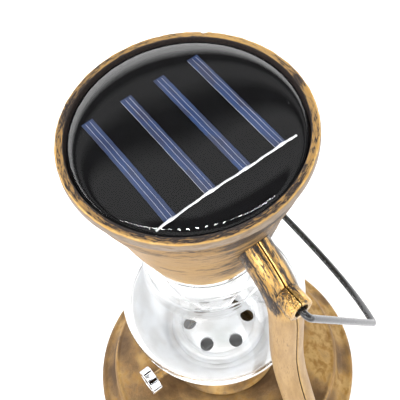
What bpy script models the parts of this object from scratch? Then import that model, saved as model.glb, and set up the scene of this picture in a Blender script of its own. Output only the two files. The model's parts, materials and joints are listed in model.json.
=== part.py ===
"""Solar garden light in the shape of a hurricane lantern. Lengths here are in millimetres, and MM turns them
into Blender's metres. The origin is the centre of the underside, +Z is up, the arms lie along X, the
thumbwheel faces -Y and the bail rests on the +Y side."""

import math

import bmesh
import bpy
from mathutils import Matrix, Vector

MM = 0.001
GAP = 0.3

# Driving dimensions
RIM_TOP_Z = 190.0
RIM_RADIUS = 40.3
RECESS_RADIUS = 37.4
PANEL_RADIUS = 36.8
SHELF_Z = 183.4
CAP_FOOT_Z = 132.5
WALL = 1.3
GLOBE_RADIUS = 37.0
GLOBE_CENTRE_Z = 81.5
NECK_RADIUS = 23.4
SPIGOT_RADIUS = 20.8
LENS_RADIUS = 12.2
BURNER_Z = 57.0
BURNER_HOLES = 6
BURNER_HOLE_RADIUS = 2.9
BURNER_HOLE_CIRCLE = 12.5
COLLAR_RADIUS = 20.4
TANK_RADIUS = 51.0
FOOT_RADIUS = 60.0
COVER_RADIUS = 55.2
COVER_THICKNESS = 2.2
ARM_RADIUS_TOP = 5.9
ARM_RADIUS_FOOT = 5.5
ARM_WALL = 1.5
ARM_SPLIT = 0.15
BOSS_Z = 153.2
BOSS_START_X = 48.0
BOSS_END_X = 54.2
BOSS_RADIUS = 4.5
BOSS_BORE = 2.65
BAIL_WIRE = 1.25
BAIL_LEAN = math.radians(36.5)
BAIL_TIP_X = 48.3
BAIL_LEG_X = 57.4
BAIL_SPLAY = 0.0475
BAIL_REACH = 60.6
BAIL_RISE = 11.6
BAIL_CORNER_X = 59.7
KNOB_Z = 44.0
KNOB_RADIUS = 6.1
SHAFT_RADIUS = 2.0
CELL_Z = 171.0
CELL_RADIUS = 7.1

# Outlines as (radius, height)
CAP_OUTSIDE = [
    (37.8, RIM_TOP_Z), (39.5, RIM_TOP_Z), (RIM_RADIUS, 189.0), (RIM_RADIUS, 186.6), (39.6, 186.1),
    (38.8, 185.9), (38.1, 181.6), (37.1, 177.4), (34.6, 170.2), (31.8, 162.0), (29.7, 154.0),
    (27.4, 146.0), (25.1, 139.0), (23.2, 133.0),
]  # fmt: skip
CAP_INSIDE = [
    (22.2, CAP_FOOT_Z), (21.4, 133.0), (23.3, 139.4), (25.6, 146.2), (27.9, 154.2), (30.0, 162.4),
    (32.9, 170.8), (35.0, 178.0), (35.2, SHELF_Z),
    (RECESS_RADIUS, SHELF_Z), (RECESS_RADIUS, 189.7),
]  # fmt: skip
TANK_OUTSIDE = [
    (17.2, 30.2), (26.0, 29.8), (33.0, 28.2), (40.0, 25.0), (45.5, 21.8), (49.2, 19.5),
    (TANK_RADIUS - 0.2, 18.4), (TANK_RADIUS + 0.5, 16.8), (51.9, 14.5), (53.0, 10.5), (55.0, 7.8),
    (57.5, 6.6), (59.2, 5.9), (FOOT_RADIUS, 4.6), (FOOT_RADIUS, 0.0),
]  # fmt: skip
TANK_INSIDE = [
    (55.6, 0.0), (55.6, 2.6), (53.6, 2.6), (53.0, 6.0), (50.6, 10.5), (49.4, 16.6),
    (44.0, 20.2), (38.8, 23.2), (32.5, 26.2), (25.6, 27.9), (17.2, 28.3),
]  # fmt: skip

# The arm's centre line as (distance from the middle, height), top to foot
ARM_LINE = [
    (24.5, 164.2), (28.5, 162.0), (33.0, 159.8), (38.0, 156.9), (42.6, 152.6), (45.6, 147.0),
    (46.7, 140.0), (46.7, 125.0), (46.7, 110.0), (48.4, 95.0), (52.2, 80.0), (56.4, 65.0),
    (57.4, 52.0), (55.4, 40.0), (51.2, 30.0), (47.6, 23.5), (45.4, 19.5),
]  # fmt: skip

# name: (colour, roughness, metallic, alpha)
FINISHES = {
    "antique_bronze": ((0.46, 0.29, 0.11), 0.42, 0.75, 1.0),
    "black_wire": ((0.02, 0.02, 0.02), 0.35, 0.3, 1.0),
    "clear_plastic": ((0.93, 0.96, 0.96), 0.04, 0.0, 0.22),
    "clear_resin": ((0.9, 0.93, 0.95), 0.03, 0.0, 0.25),
    "mirror_silver": ((0.86, 0.87, 0.88), 0.08, 1.0, 1.0),
    "chrome": ((0.9, 0.9, 0.91), 0.06, 1.0, 1.0),
    "board_black": ((0.02, 0.02, 0.025), 0.4, 0.0, 1.0),
    "board_green": ((0.03, 0.2, 0.08), 0.45, 0.0, 1.0),
    "solar_blue": ((0.03, 0.07, 0.3), 0.25, 0.3, 1.0),
    "tinned": ((0.78, 0.79, 0.8), 0.25, 1.0, 1.0),
    "black_plastic": ((0.03, 0.03, 0.03), 0.5, 0.0, 1.0),
    "cell_wrap": ((0.06, 0.3, 0.12), 0.35, 0.0, 1.0),
    "rubber": ((0.03, 0.03, 0.03), 0.85, 0.0, 1.0),
    "steel": ((0.6, 0.6, 0.61), 0.3, 1.0, 1.0),
    "lead_red": ((0.5, 0.03, 0.03), 0.45, 0.0, 1.0),
    "led_white": ((0.95, 0.93, 0.8), 0.15, 0.0, 1.0),
}


def clear_scene():
    for thing in list(bpy.data.objects):
        bpy.data.objects.remove(thing)


def finish(name):
    made = bpy.data.materials.get(name)
    if made:
        return made
    colour, roughness, metallic, alpha = FINISHES[name]
    made = bpy.data.materials.new(name)
    made.use_nodes = True
    shader = made.node_tree.nodes["Principled BSDF"]
    shader.inputs["Base Color"].default_value = (*colour, 1.0)
    shader.inputs["Roughness"].default_value = roughness
    shader.inputs["Metallic"].default_value = metallic
    shader.inputs["Alpha"].default_value = alpha
    return made


def add_object(name, data, finish_name):
    thing = bpy.data.objects.new(name, data)
    bpy.context.scene.collection.objects.link(thing)
    data.materials.append(finish(finish_name))
    return thing


def add_mesh(name, bm, finish_name):
    """Close the bmesh into an object with its faces outwards, shaded smooth except at corners."""
    bmesh.ops.remove_doubles(bm, verts=bm.verts, dist=1e-7)
    bmesh.ops.recalc_face_normals(bm, faces=bm.faces)
    mesh = bpy.data.meshes.new(name)
    bm.to_mesh(mesh)
    bm.free()
    mesh.shade_smooth()
    mesh.set_sharp_from_angle(angle=math.radians(35))
    return add_object(name, mesh, finish_name)


def hide_cutter(thing):
    thing.hide_render = True
    thing.display_type = "WIRE"
    return thing


def boolean(thing, operation, other):
    modifier = thing.modifiers.new(other.name, "BOOLEAN")
    modifier.operation = operation
    modifier.solver = "EXACT"
    modifier.object = other
    hide_cutter(other)


def turned(name, outline, finish_name, steps=36, centre=(0.0, 0.0)):
    """Spin an outline of (radius, height) about an upright axis. An outline that starts and ends at
    radius 0 is a solid, and any other is closed into a ring."""
    bm = bmesh.new()
    verts = [bm.verts.new((r * MM, 0, z * MM)) for r, z in outline]
    for first, second in zip(verts, verts[1:]):
        bm.edges.new((first, second))
    if outline[0][0] > 0:
        bm.edges.new((verts[-1], verts[0]))
    bmesh.ops.spin(
        bm,
        geom=bm.verts[:] + bm.edges[:],
        axis=(0, 0, 1),
        cent=(0, 0, 0),
        angle=2 * math.pi,
        steps=steps,
    )
    bmesh.ops.translate(bm, verts=bm.verts, vec=(centre[0] * MM, centre[1] * MM, 0))
    return add_mesh(name, bm, finish_name)


def disc(name, radius, low, high, finish_name, steps=36, centre=(0.0, 0.0)):
    outline = [(0, low), (radius, low), (radius, high), (0, high)]
    return turned(name, outline, finish_name, steps, centre)


def ring(name, inner, outer, low, high, finish_name, steps=36):
    outline = [(inner, low), (outer, low), (outer, high), (inner, high)]
    return turned(name, outline, finish_name, steps)


def block(name, low, high, finish_name):
    """A box from its lowest to its highest corner."""
    size = [(b - a) * MM for a, b in zip(low, high)]
    middle = [(a + b) / 2 * MM for a, b in zip(low, high)]
    bm = bmesh.new()
    bmesh.ops.create_cube(bm, size=1.0)
    bmesh.ops.scale(bm, vec=size, verts=bm.verts)
    bmesh.ops.translate(bm, vec=middle, verts=bm.verts)
    return add_mesh(name, bm, finish_name)


def towards_front(thing, height):
    """Turn a piece made along +Z to point along -Y at this height."""
    thing.location = (0, 0, height * MM)
    thing.rotation_euler = (math.pi / 2, 0, 0)
    return thing


def wire(name, points, radius, finish_name, sides_level=2):
    curve = bpy.data.curves.new(name, "CURVE")
    curve.dimensions = "3D"
    curve.bevel_depth = radius * MM
    curve.bevel_resolution = sides_level
    curve.use_fill_caps = True
    curve.twist_mode = "MINIMUM"
    spline = curve.splines.new("POLY")
    spline.points.add(len(points) - 1)
    for spot, point in zip(spline.points, points):
        spot.co = (*(value * MM for value in point), 1.0)
    return add_object(name, curve, finish_name)


def smooth_line(points, per_span):
    """A Catmull-Rom curve through the points, with per_span samples to each span."""
    ends = [2 * points[0] - points[1], *points, 2 * points[-1] - points[-2]]
    found = []
    for index in range(1, len(ends) - 2):
        before, start, end, after = ends[index - 1 : index + 3]
        for step in range(per_span):
            t = step / per_span
            found.append(
                0.5
                * (
                    2 * start
                    + (end - before) * t
                    + (2 * before - 5 * start + 4 * end - after) * t**2
                    + (3 * start - before - 3 * end + after) * t**3
                )
            )
    return [*found, points[-1]]


def rounded(points, radius, steps=3):
    """A chain of points with its corners made arcs of this radius."""
    found = [points[0]]
    for before, corner, after in zip(points, points[1:], points[2:]):
        back = (before - corner).normalized()
        ahead = (after - corner).normalized()
        half = back.angle(ahead) / 2
        run = radius / math.tan(half)
        if half > math.radians(84):
            found.append(corner)
            continue
        centre = corner + (back + ahead).normalized() * (radius / math.sin(half))
        first = corner + back * run - centre
        last = corner + ahead * run - centre
        for step in range(steps + 1):
            found.append(centre + first.slerp(last, step / steps))
    return [*found, points[-1]]


def sphere_outline(radius, low_angle, high_angle, steps):
    """Points on the globe's circle between two angles above its widest line, in degrees."""
    found = []
    for step in range(steps + 1):
        angle = math.radians(low_angle + (high_angle - low_angle) * step / steps)
        found.append((radius * math.cos(angle), GLOBE_CENTRE_Z + radius * math.sin(angle)))
    return found


# Cap and solar panel


def make_cap_bell():
    bell = turned("cap_bell", CAP_OUTSIDE + CAP_INSIDE, "antique_bronze", 34)
    hole = disc("cutter_lead_hole", 2.4, -8.0, 8.0, "steel", 10)
    hole.location = (28.0 * MM, 0, 162.4 * MM)
    hole.rotation_euler = (0, math.radians(116), 0)
    boolean(bell, "DIFFERENCE", hole)


def make_panel():
    ring("panel_adhesive_ring", 35.6, 37.0, SHELF_Z + GAP, 184.3, "rubber", 28)
    disc("panel_board", PANEL_RADIUS, 184.6, 186.2, "board_black", 34)
    for number, y in enumerate((-21.2, -6.9, 5.7, 18.7), start=1):
        block(f"solar_strip_{number}", (-23.0, y - 2.05, 186.5), (22.0, y + 2.05, 186.8), "solar_blue")
    block("tab_ribbon", (20.9, -26.5, 187.1), (23.1, 24.5, 187.3), "tinned")
    outline = [(0, 186.5), (36.6, 186.5), (36.6, 188.0), (35.9, 188.8), (33.5, 189.5)]
    outline += [(28.0, 190.0), (19.0, 190.4), (9.0, 190.6), (0, 190.7)]
    resin = turned("panel_resin_dome", outline, "clear_resin", 34)
    strips = block("cutter_strips", (-23.4, -23.7, 186.0), (22.4, 21.2, 187.1), "steel")
    ribbon = block("cutter_ribbon", (20.6, -26.8, 186.0), (23.4, 24.8, 187.6), "steel")
    boolean(resin, "DIFFERENCE", strips)
    boolean(resin, "DIFFERENCE", ribbon)


def make_battery():
    tray = block("battery_tray", (-9.3, -27.6, 162.6), (9.3, 27.6, CELL_Z), "black_plastic")
    trough = disc("cutter_trough", CELL_RADIUS + 0.5, -26.3, 26.3, "steel", 20)
    towards_front(trough, CELL_Z)
    posts = []
    for side in (-1, 1):
        posts.append(disc(f"post_{side}", 2.6, 144.5, 163.4, "steel", 12, (0, 16.0 * side)))
    for post in posts:
        boolean(tray, "UNION", post)
    boolean(tray, "DIFFERENCE", trough)
    for side in (-1, 1):
        bore = disc(f"cutter_post_bore_{side}", 1.25, 143.0, 156.0, "steel", 12, (0, 16.0 * side))
        boolean(tray, "DIFFERENCE", bore)
    outline = [(0, -22.8), (6.4, -22.8), (CELL_RADIUS, -22.2), (CELL_RADIUS, 24.2), (6.4, 24.8)]
    outline += [(2.7, 24.8), (2.7, 25.5), (0, 25.5)]
    towards_front(turned("battery_cell", outline, "cell_wrap", 18), CELL_Z)
    block("contact_plate", (-3.5, -26.2, CELL_Z - 5), (3.5, -25.8, CELL_Z + 5), "tinned")
    turns, per_turn = 3.0, 8
    coil = []
    for step in range(int(turns * per_turn) + 1):
        angle = 2 * math.pi * step / per_turn
        radius = 4.2 - 1.4 * step / (turns * per_turn)
        along = 25.9 - 2.4 * step / (turns * per_turn)
        coil.append((radius * math.cos(angle), along, CELL_Z + radius * math.sin(angle)))
    wire("contact_spring", coil, 0.3, "tinned", 0)


def make_cap_floor():
    floor = ring("cap_floor", 5.0, 23.8, 142.2, 144.2, "black_plastic", 26)
    for number, side in enumerate((-1, 1), start=1):
        hole = disc(f"cutter_floor_{number}", 1.25, 141.0, 145.0, "steel", 12, (0, 16.0 * side))
        boolean(floor, "DIFFERENCE", hole)
        outline = [(0, 140.4), (1.6, 140.4), (2.1, 141.0), (2.1, 141.9), (0.85, 141.9)]
        outline += [(0.85, 152.0), (0, 152.8)]
        turned(f"floor_screw_{number}", outline, "steel", 12, (0, 16.0 * side))


def make_electronics():
    block("control_board", (-8, -11, 144.5), (8, 11, 145.7), "board_green")
    block("driver_chip", (1.0, -6.5, 146.0), (6.0, -2.5, 147.6), "black_plastic")
    disc("inductor", 1.8, 146.0, 151.0, "board_green", 14, (-4.0, 2.0))
    disc("led_board", 11.5, 134.5, 135.9, "board_green", 22)
    outline = [(0, 126.6), (1.3, 126.9), (2.2, 127.9), (2.5, 129.2), (2.5, 133.4), (2.9, 133.4)]
    outline += [(2.9, 134.2), (0, 134.2)]
    turned("led_emitter", outline, "led_white", 12)
    wire("led_lead", [(0, 3.0, 136.3), (0.6, 3.2, 140.0), (0, 3.0, 144.1)], 0.6, "lead_red", 1)
    route = [(16.0, -15.0, 184.2), (17.2, -15.0, 178.0), (17.4, -14.0, 165.0), (13.5, -11.5, 152.5)]
    route += [(8.5, -8.0, 148.4), (7.0, -6.8, 146.9)]
    points = smooth_line([Vector(point) for point in route], 2)
    wire("panel_lead", points, 0.7, "lead_red", 1)


# Globe, lens and burner


def make_globe():
    outside = sphere_outline(GLOBE_RADIUS, -8.5, 49.0, 6)
    outside += [(NECK_RADIUS + 0.2, 111.6), (NECK_RADIUS, 114.0), (NECK_RADIUS, 132.2)]
    outside += [(SPIGOT_RADIUS, 132.2), (SPIGOT_RADIUS, 140.6)]
    inside = [(19.4, 140.6), (19.4, 131.6), (17.0, 131.6), (17.0, 130.2), (22.1, 130.2), (22.1, 112.6)]
    inside += sphere_outline(GLOBE_RADIUS - WALL, 50.0, -8.9, 5)
    turned("globe", outside + inside, "clear_plastic", 30)


def make_lens_cup():
    outline = [(0, 91.2), (10.4, 91.2), (11.7, 91.9), (LENS_RADIUS, 93.4), (LENS_RADIUS, 131.9)]
    outline += [(19.0, 131.9), (19.0, 133.2), (11.0, 133.2), (11.0, 93.8), (10.2, 92.5), (0, 92.5)]
    turned("lens_cup", outline, "clear_plastic", 24)


def make_reflector_bowl():
    outside = sphere_outline(GLOBE_RADIUS, -48.5, -9.3, 4)
    inside = sphere_outline(GLOBE_RADIUS - 2.0, -9.8, -47.0, 4)
    outline = [(16.9, 53.0), (23.6, 53.0)] + outside + inside + [(22.8, 54.2), (16.9, 54.2)]
    turned("reflector_bowl", outline, "mirror_silver", 30)


def make_burner_dome():
    top = [(0, BURNER_Z), (8.0, 56.6), (15.5, 55.0), (16.3, 56.4), (17.4, 57.5)]
    top += [(18.8, 57.5), (20.2, 56.5), (20.5, 54.5)]
    under = [(19.3, 54.5), (18.4, 56.3), (17.6, 56.2), (16.1, 53.8), (8.0, 55.5), (0, 55.9)]
    dome = turned("burner_dome", top + under, "mirror_silver", 26)
    for number in range(BURNER_HOLES):
        angle = 2 * math.pi * number / BURNER_HOLES
        centre = (BURNER_HOLE_CIRCLE * math.cos(angle), BURNER_HOLE_CIRCLE * math.sin(angle))
        hole = disc(f"cutter_burner_{number}", BURNER_HOLE_RADIUS, 50.0, 60.0, "steel", 12, centre)
        boolean(dome, "DIFFERENCE", hole)


def make_collar():
    ring("bowl_seal", 18.4, 22.4, 51.5, 52.7, "rubber", 26)
    outline = [(18.2, 51.2), (23.2, 51.2), (23.8, 50.6), (23.4, 49.9), (21.2, 49.3)]
    outline += [(COLLAR_RADIUS, 48.4), (COLLAR_RADIUS, 40.0), (21.2, 37.6), (22.0, 35.0)]
    outline += [(24.4, 33.2), (25.0, 31.8), (24.6, 30.7), (18.2, 30.7)]
    collar = turned("burner_collar", outline, "antique_bronze", 30)
    hole = disc("cutter_bush_hole", 4.1, 14.0, 24.0, "steel", 16)
    boolean(collar, "DIFFERENCE", towards_front(hole, KNOB_Z))


# Thumbwheel and switch


def make_knob():
    outline = [(2.35, 16.8), (3.7, 16.8), (3.7, 20.9), (4.7, 20.9), (4.7, 22.2), (3.4, 23.6)]
    outline += [(2.35, 23.6)]
    towards_front(turned("shaft_bush", outline, "antique_bronze", 16), KNOB_Z)
    outline = [(0, 12.3), (SHAFT_RADIUS, 12.3), (SHAFT_RADIUS, 38.1), (0, 38.1)]
    towards_front(turned("knob_shaft", outline, "antique_bronze", 12), KNOB_Z)
    outline = [(0, 38.5), (SHAFT_RADIUS + GAP, 38.5), (SHAFT_RADIUS + GAP, 34.9), (5.5, 34.9)]
    outline += [(KNOB_RADIUS, 35.5), (KNOB_RADIUS, 39.3), (5.5, 39.9), (0, 39.9)]
    wheel = towards_front(turned("knob_wheel", outline, "chrome", 24), KNOB_Z)
    for number in range(8):
        notch = block(f"cutter_notch_{number}", (5.0, -0.55, 34.0), (7.0, 0.55, 41.0), "steel")
        notch.matrix_world = (
            Matrix.Translation((0, 0, KNOB_Z * MM))
            @ Matrix.Rotation(math.pi / 2, 4, "X")
            @ Matrix.Rotation(2 * math.pi * (number + 0.35) / 8, 4, "Z")
        )
        boolean(wheel, "DIFFERENCE", notch)
    block("switch_body", (-6, -12.0, 38.0), (6, -5.5, 50.0), "black_plastic")


def make_switch_lead():
    """The lead leaves the control board, runs down inside the east arm and ends under the switch."""
    inside_arm = [(x, 0.0, z) for x, z in ARM_LINE[2:-1]]
    route = [(7.2, 6.0, 146.9), (12.0, 4.5, 150.0), (19.0, 1.5, 159.5), (25.0, 0.0, 163.6)]
    route += [(point[0] - 1.2, point[1], point[2] - 0.6) for point in inside_arm]
    route += [(46.6, 0, 18.0), (43.5, 0, 12.0), (34.0, 0, 9.6), (20.0, -2.0, 10.5), (8.0, -6.0, 17.0)]
    route += [(2.0, -8.5, 28.0), (0.5, -8.8, 37.6)]
    points = smooth_line([Vector(point) for point in route], 2)
    wire("switch_lead", points, 0.9, "lead_red", 1)


# Arms and bail


def arm_tube(name, turn):
    """A round tube with open ends, carried along the arm's centre line."""
    line = smooth_line([Vector((x, 0, z)) for x, z in ARM_LINE], 2)
    bm = bmesh.new()
    sides = 10
    rings = []
    for index, point in enumerate(line):
        tangent = (line[min(index + 1, len(line) - 1)] - line[max(index - 1, 0)]).normalized()
        outward = Vector((-tangent.z, 0, tangent.x))
        share = index / (len(line) - 1)
        radius = ARM_RADIUS_TOP + (ARM_RADIUS_FOOT - ARM_RADIUS_TOP) * share
        spots = []
        for distance in (radius, radius - ARM_WALL):
            for k in range(sides):
                angle = 2 * math.pi * k / sides
                across = outward * math.cos(angle) + Vector((0, math.sin(angle), 0))
                spots.append(bm.verts.new((point + across * distance) * MM))
        rings.append(spots)
    for k in range(sides):
        n = (k + 1) % sides
        for first, second in zip(rings, rings[1:]):
            bm.faces.new((first[k], first[n], second[n], second[k]))
            bm.faces.new((first[k + sides], second[k + sides], second[n + sides], first[n + sides]))
        for spots in (rings[0], rings[-1]):
            bm.faces.new((spots[k], spots[n], spots[n + sides], spots[k + sides]))
    tube = add_mesh(name, bm, "antique_bronze")
    tube.rotation_euler = (0, 0, turn)
    return tube


def boss_rod(name, radius, start, end, turn):
    """A rod along X at the bail's height, on the arm that this turn about Z gives."""
    rod = disc(name, radius, start, end, "steel", 16)
    matrix = Matrix.Rotation(turn, 4, "Z") @ Matrix.Translation((0, 0, BOSS_Z * MM))
    rod.matrix_world = matrix @ Matrix.Rotation(math.pi / 2, 4, "Y")
    return rod


def make_arms():
    """Each arm is a tube with a boss, split on its own plane into a front and a back half shell."""
    cap_outline = [(0, 195.0), (37.8, 195.0)] + [(r + 0.5, z) for r, z in CAP_OUTSIDE[1:]]
    cap_space = turned("cutter_cap_space", cap_outline + [(23.0, 120.0), (0, 120.0)], "steel", 34)
    tank_outline = [(0, 31.0)] + [(r + 0.3, z + 0.4) for r, z in TANK_OUTSIDE[1:]]
    tank_space = turned("cutter_tank_space", tank_outline + [(59.0, -5.0), (0, -5.0)], "steel", 34)
    front = block("cutter_front_side", (-80, -30, 0), (80, ARM_SPLIT, 200), "steel")
    back = block("cutter_back_side", (-80, -ARM_SPLIT, 0), (80, 30, 200), "steel")
    for place, turn in (("east", 0.0), ("west", math.pi)):
        boss = boss_rod(f"boss_{place}", BOSS_RADIUS, BOSS_START_X, BOSS_END_X, turn)
        bore = boss_rod(f"cutter_bore_{place}", BOSS_BORE, 46.0, 57.0, turn)
        for face, other_side in (("front", back), ("back", front)):
            half = arm_tube(f"arm_{place}_{face}", turn)
            boolean(half, "UNION", boss)
            for cutter in (cap_space, tank_space, other_side, bore):
                boolean(half, "DIFFERENCE", cutter)


def bail_points():
    """The wire in its own plane, hanging straight down from the pivot line: (across, 0, -reach)."""
    leg = [Vector((BAIL_TIP_X, 0, 0)), Vector((BAIL_LEG_X, 0, 0))]
    arch = []
    for step in range(10):
        x = BAIL_CORNER_X * (1 - (step / 9.5) ** 0.9)
        reach = BAIL_REACH - BAIL_RISE * (x / (BAIL_CORNER_X - 2.1)) ** 3
        arch.append(Vector((x, 0, -reach)))
    arch[0].x = BAIL_LEG_X + BAIL_SPLAY * -arch[0].z
    half = leg + arch
    other = [Vector((-point.x, 0, point.z)) for point in reversed(half)]
    return rounded(half + other, 2.2)


def make_bail():
    bail = wire("bail", bail_points(), BAIL_WIRE, "black_wire", 2)
    bail.location = (0, 0, BOSS_Z * MM)
    bail.rotation_euler = (BAIL_LEAN, 0, 0)


# Base


def make_base():
    shell = turned("base_shell", TANK_OUTSIDE + TANK_INSIDE, "antique_bronze", 34)
    cover = disc("bottom_cover", COVER_RADIUS, 0.0, COVER_THICKNESS, "black_plastic", 34)
    for number, angle in enumerate((90, 210, 330), start=1):
        spot = (42.0 * math.cos(math.radians(angle)), 42.0 * math.sin(math.radians(angle)))
        post = disc(f"post_cover_{number}", 3.4, 2.6, 21.2, "steel", 12, spot)
        bore = disc(f"cutter_cover_bore_{number}", 1.35, 2.0, 15.0, "steel", 10, spot)
        boolean(shell, "UNION", post)
        boolean(shell, "DIFFERENCE", bore)
        sink = [(0, -1.0), (3.4, -1.0), (3.1, 0.0), (1.5, 1.7), (1.5, 3.5), (0, 3.5)]
        boolean(cover, "DIFFERENCE", turned(f"cutter_sink_{number}", sink, "steel", 12, spot))
        outline = [(0, 0.4), (2.4, 0.4), (0.95, 1.9), (0.95, 11.5), (0, 12.4)]
        turned(f"cover_screw_{number}", outline, "steel", 12, spot)
    lead_hole = disc("cutter_tank_lead", 2.2, 12.0, 26.0, "steel", 12, (46.4, 0))
    boolean(shell, "DIFFERENCE", lead_hole)


def main():
    clear_scene()
    make_cap_bell()
    make_panel()
    make_battery()
    make_cap_floor()
    make_electronics()
    make_globe()
    make_lens_cup()
    make_reflector_bowl()
    make_burner_dome()
    make_collar()
    make_knob()
    make_switch_lead()
    make_arms()
    make_bail()
    make_base()


main()
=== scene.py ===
# %% [markdown]
# # A solar garden light shaped like a hurricane lantern
# The light is a bronze-painted plastic lantern: a funnel-shaped cap holds a round solar panel under clear
# resin, a clear globe stands on a bright reflector bowl, two hollow arms join the cap to a flanged base,
# and a black wire bail swings in their bosses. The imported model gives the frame: every piece sits where
# it says.

# %% Load the frame
import json
import math

import bmesh
import bpy
import numpy as np
from mathutils import Matrix, Vector

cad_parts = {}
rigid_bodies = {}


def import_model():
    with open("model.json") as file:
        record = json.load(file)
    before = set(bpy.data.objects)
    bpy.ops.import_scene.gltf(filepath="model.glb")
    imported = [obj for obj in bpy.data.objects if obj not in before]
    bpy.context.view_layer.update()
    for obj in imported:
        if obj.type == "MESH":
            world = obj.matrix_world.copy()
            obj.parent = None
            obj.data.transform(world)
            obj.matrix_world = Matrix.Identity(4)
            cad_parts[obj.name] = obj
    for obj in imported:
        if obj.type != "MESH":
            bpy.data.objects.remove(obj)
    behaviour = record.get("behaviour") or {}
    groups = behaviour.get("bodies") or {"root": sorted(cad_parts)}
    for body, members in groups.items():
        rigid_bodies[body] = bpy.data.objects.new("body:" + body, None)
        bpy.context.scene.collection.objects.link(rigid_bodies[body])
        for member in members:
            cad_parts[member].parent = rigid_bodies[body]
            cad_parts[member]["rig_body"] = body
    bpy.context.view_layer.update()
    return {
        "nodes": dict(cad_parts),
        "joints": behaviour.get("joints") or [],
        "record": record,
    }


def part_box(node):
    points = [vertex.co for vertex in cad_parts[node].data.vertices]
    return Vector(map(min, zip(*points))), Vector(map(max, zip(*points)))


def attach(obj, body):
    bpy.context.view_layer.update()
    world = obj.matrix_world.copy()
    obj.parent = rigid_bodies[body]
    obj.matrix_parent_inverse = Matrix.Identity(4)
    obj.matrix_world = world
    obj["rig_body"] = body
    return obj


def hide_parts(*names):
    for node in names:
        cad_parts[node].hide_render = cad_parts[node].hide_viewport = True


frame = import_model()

NODES = frame["nodes"]
SLOT_OF = {part["node"]: part["material_slot"] for part in frame["record"]["subparts"]}

# %% [markdown]
# ## Lengths
# A maker thinks of a lantern in millimetres, and Blender wants metres. One factor turns one into the
# other when a mesh is written, so every outline below reads like a drawing. The main sizes come from the
# frame's boxes, so they follow the design when it changes.

# %% Main sizes, in millimetres
MM = 0.001


def span(node):
    """Lowest and highest corner of a node of the frame, in millimetres."""
    low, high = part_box(node)
    return np.array(low) / MM, np.array(high) / MM


RIM_RADIUS = span("cap_bell")[1][0]
RIM_TOP = span("cap_bell")[1][2]
BOARD_TOP = span("panel_board")[1][2]
BOARD_RADIUS = span("panel_board")[1][0]
FOOT_RADIUS = span("base_shell")[1][0]
GLOBE_R = span("globe")[1][0]
GLOBE_Z = 81.5
PIVOT_Z = next(joint for joint in frame["joints"] if joint["child"] == "bail")["pos_m"][2] / MM
KNOB_Z = next(joint for joint in frame["joints"] if joint["child"] == "knob")["pos_m"][2] / MM
print(f"rim radius {RIM_RADIUS:.1f}, top {RIM_TOP:.1f}, foot radius {FOOT_RADIUS:.1f}")

# %% [markdown]
# ## Curves
# Nearly every outline here is a smooth run between a few corners. A spline object could draw them, but a
# Catmull-Rom formula on whole arrays keeps the points in the script, where a radius or a height can be
# changed.


# %% Smooth runs and arcs
def smooth_run(points, per_span=6):
    """A Catmull-Rom curve: each span is the cubic through its two ends whose slope at each end is half
    the step between that point's neighbours."""
    spots = np.asarray(points, float)
    spots = np.vstack([2 * spots[0] - spots[1], spots, 2 * spots[-1] - spots[-2]])
    count = len(spots) - 3
    before, start, end, after = (spots[k : k + count, None] for k in range(4))
    t = (np.arange(per_span) / per_span)[None, :, None]
    run = 2 * start + (end - before) * t + (2 * before - 5 * start + 4 * end - after) * t**2
    run = 0.5 * (run + (3 * start - before - 3 * end + after) * t**3)
    return np.vstack([run.reshape(-1, spots.shape[1]), spots[-2]])


def arc(centre, radius, start, end, count):
    """Points (radius, height) on a circle from one angle to another, in degrees above the horizontal."""
    angle = np.radians(np.linspace(start, end, count))
    return np.stack([centre[0] + radius * np.cos(angle), centre[1] + radius * np.sin(angle)], axis=1)


def outline(*runs):
    """Runs of points laid end to end, without points that repeat."""
    points = np.vstack([np.atleast_2d(np.asarray(run, float)) for run in runs])
    step = np.linalg.norm(np.diff(points, axis=0), axis=1)
    return points[np.concatenate([[True], step > 1e-4])]


print("a smooth run of three points has", len(smooth_run([(0, 0), (1, 2), (2, 0)])), "points")

# %% [markdown]
# ## From a grid to a mesh
# A surface of two parameters is a grid of points: one row for each step along the piece, one column for
# each step round it. Joining neighbours gives quads with even flow, which shade cleanly. A row that has
# shrunk to one point is a pole, and its quads become triangles on one vertex, so no hole or doubled point
# is left there.


# %% Skin a grid
def skin(name, grid, closed_along=False, capped=False, sharp=40):
    """Rows of points, each row a closed ring, joined into quads. closed_along joins the last row to the
    first, and capped closes the two end rows with flat faces. Coordinates are in millimetres."""
    rows, columns = grid.shape[:2]
    pole = np.ptp(grid, axis=1).max(axis=1) < 1e-6
    number = np.arange(rows * columns).reshape(rows, columns)
    number[pole] = number[pole][:, :1]
    used, joined = np.unique(number, return_inverse=True)
    number = joined.reshape(rows, columns)
    ahead = np.roll(number, -1, axis=1)
    below, below_ahead = np.roll(number, -1, axis=0), np.roll(ahead, -1, axis=0)
    quads = np.stack([number, ahead, below_ahead, below], axis=2)
    if not closed_along:
        quads, first, second = quads[:-1], pole[:-1], pole[1:]
    else:
        first, second = pole, np.roll(pole, -1)
    faces = quads[~first & ~second].reshape(-1, 4).tolist()
    faces += quads[first & ~second][:, :, [0, 2, 3]].reshape(-1, 3).tolist()
    faces += quads[~first & second][:, :, [0, 1, 2]].reshape(-1, 3).tolist()
    if capped:
        faces += [number[0].tolist()[::-1], number[-1].tolist()]
    mesh = bpy.data.meshes.new(name)
    mesh.from_pydata((grid.reshape(-1, 3)[used] * MM).tolist(), [], faces)
    piece = bpy.data.objects.new(name, mesh)
    bpy.context.scene.collection.objects.link(piece)
    face_outwards(piece.data, sharp)
    return piece


def face_outwards(mesh, sharp=40):
    """Turn a closed mesh's faces outwards and shade it smooth, except at edges sharper than this angle."""
    bm = bmesh.new()
    bm.from_mesh(mesh)
    bmesh.ops.recalc_face_normals(bm, faces=bm.faces)
    bm.to_mesh(mesh)
    bm.free()
    mesh.shade_smooth()
    mesh.set_sharp_from_angle(angle=math.radians(sharp))


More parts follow.
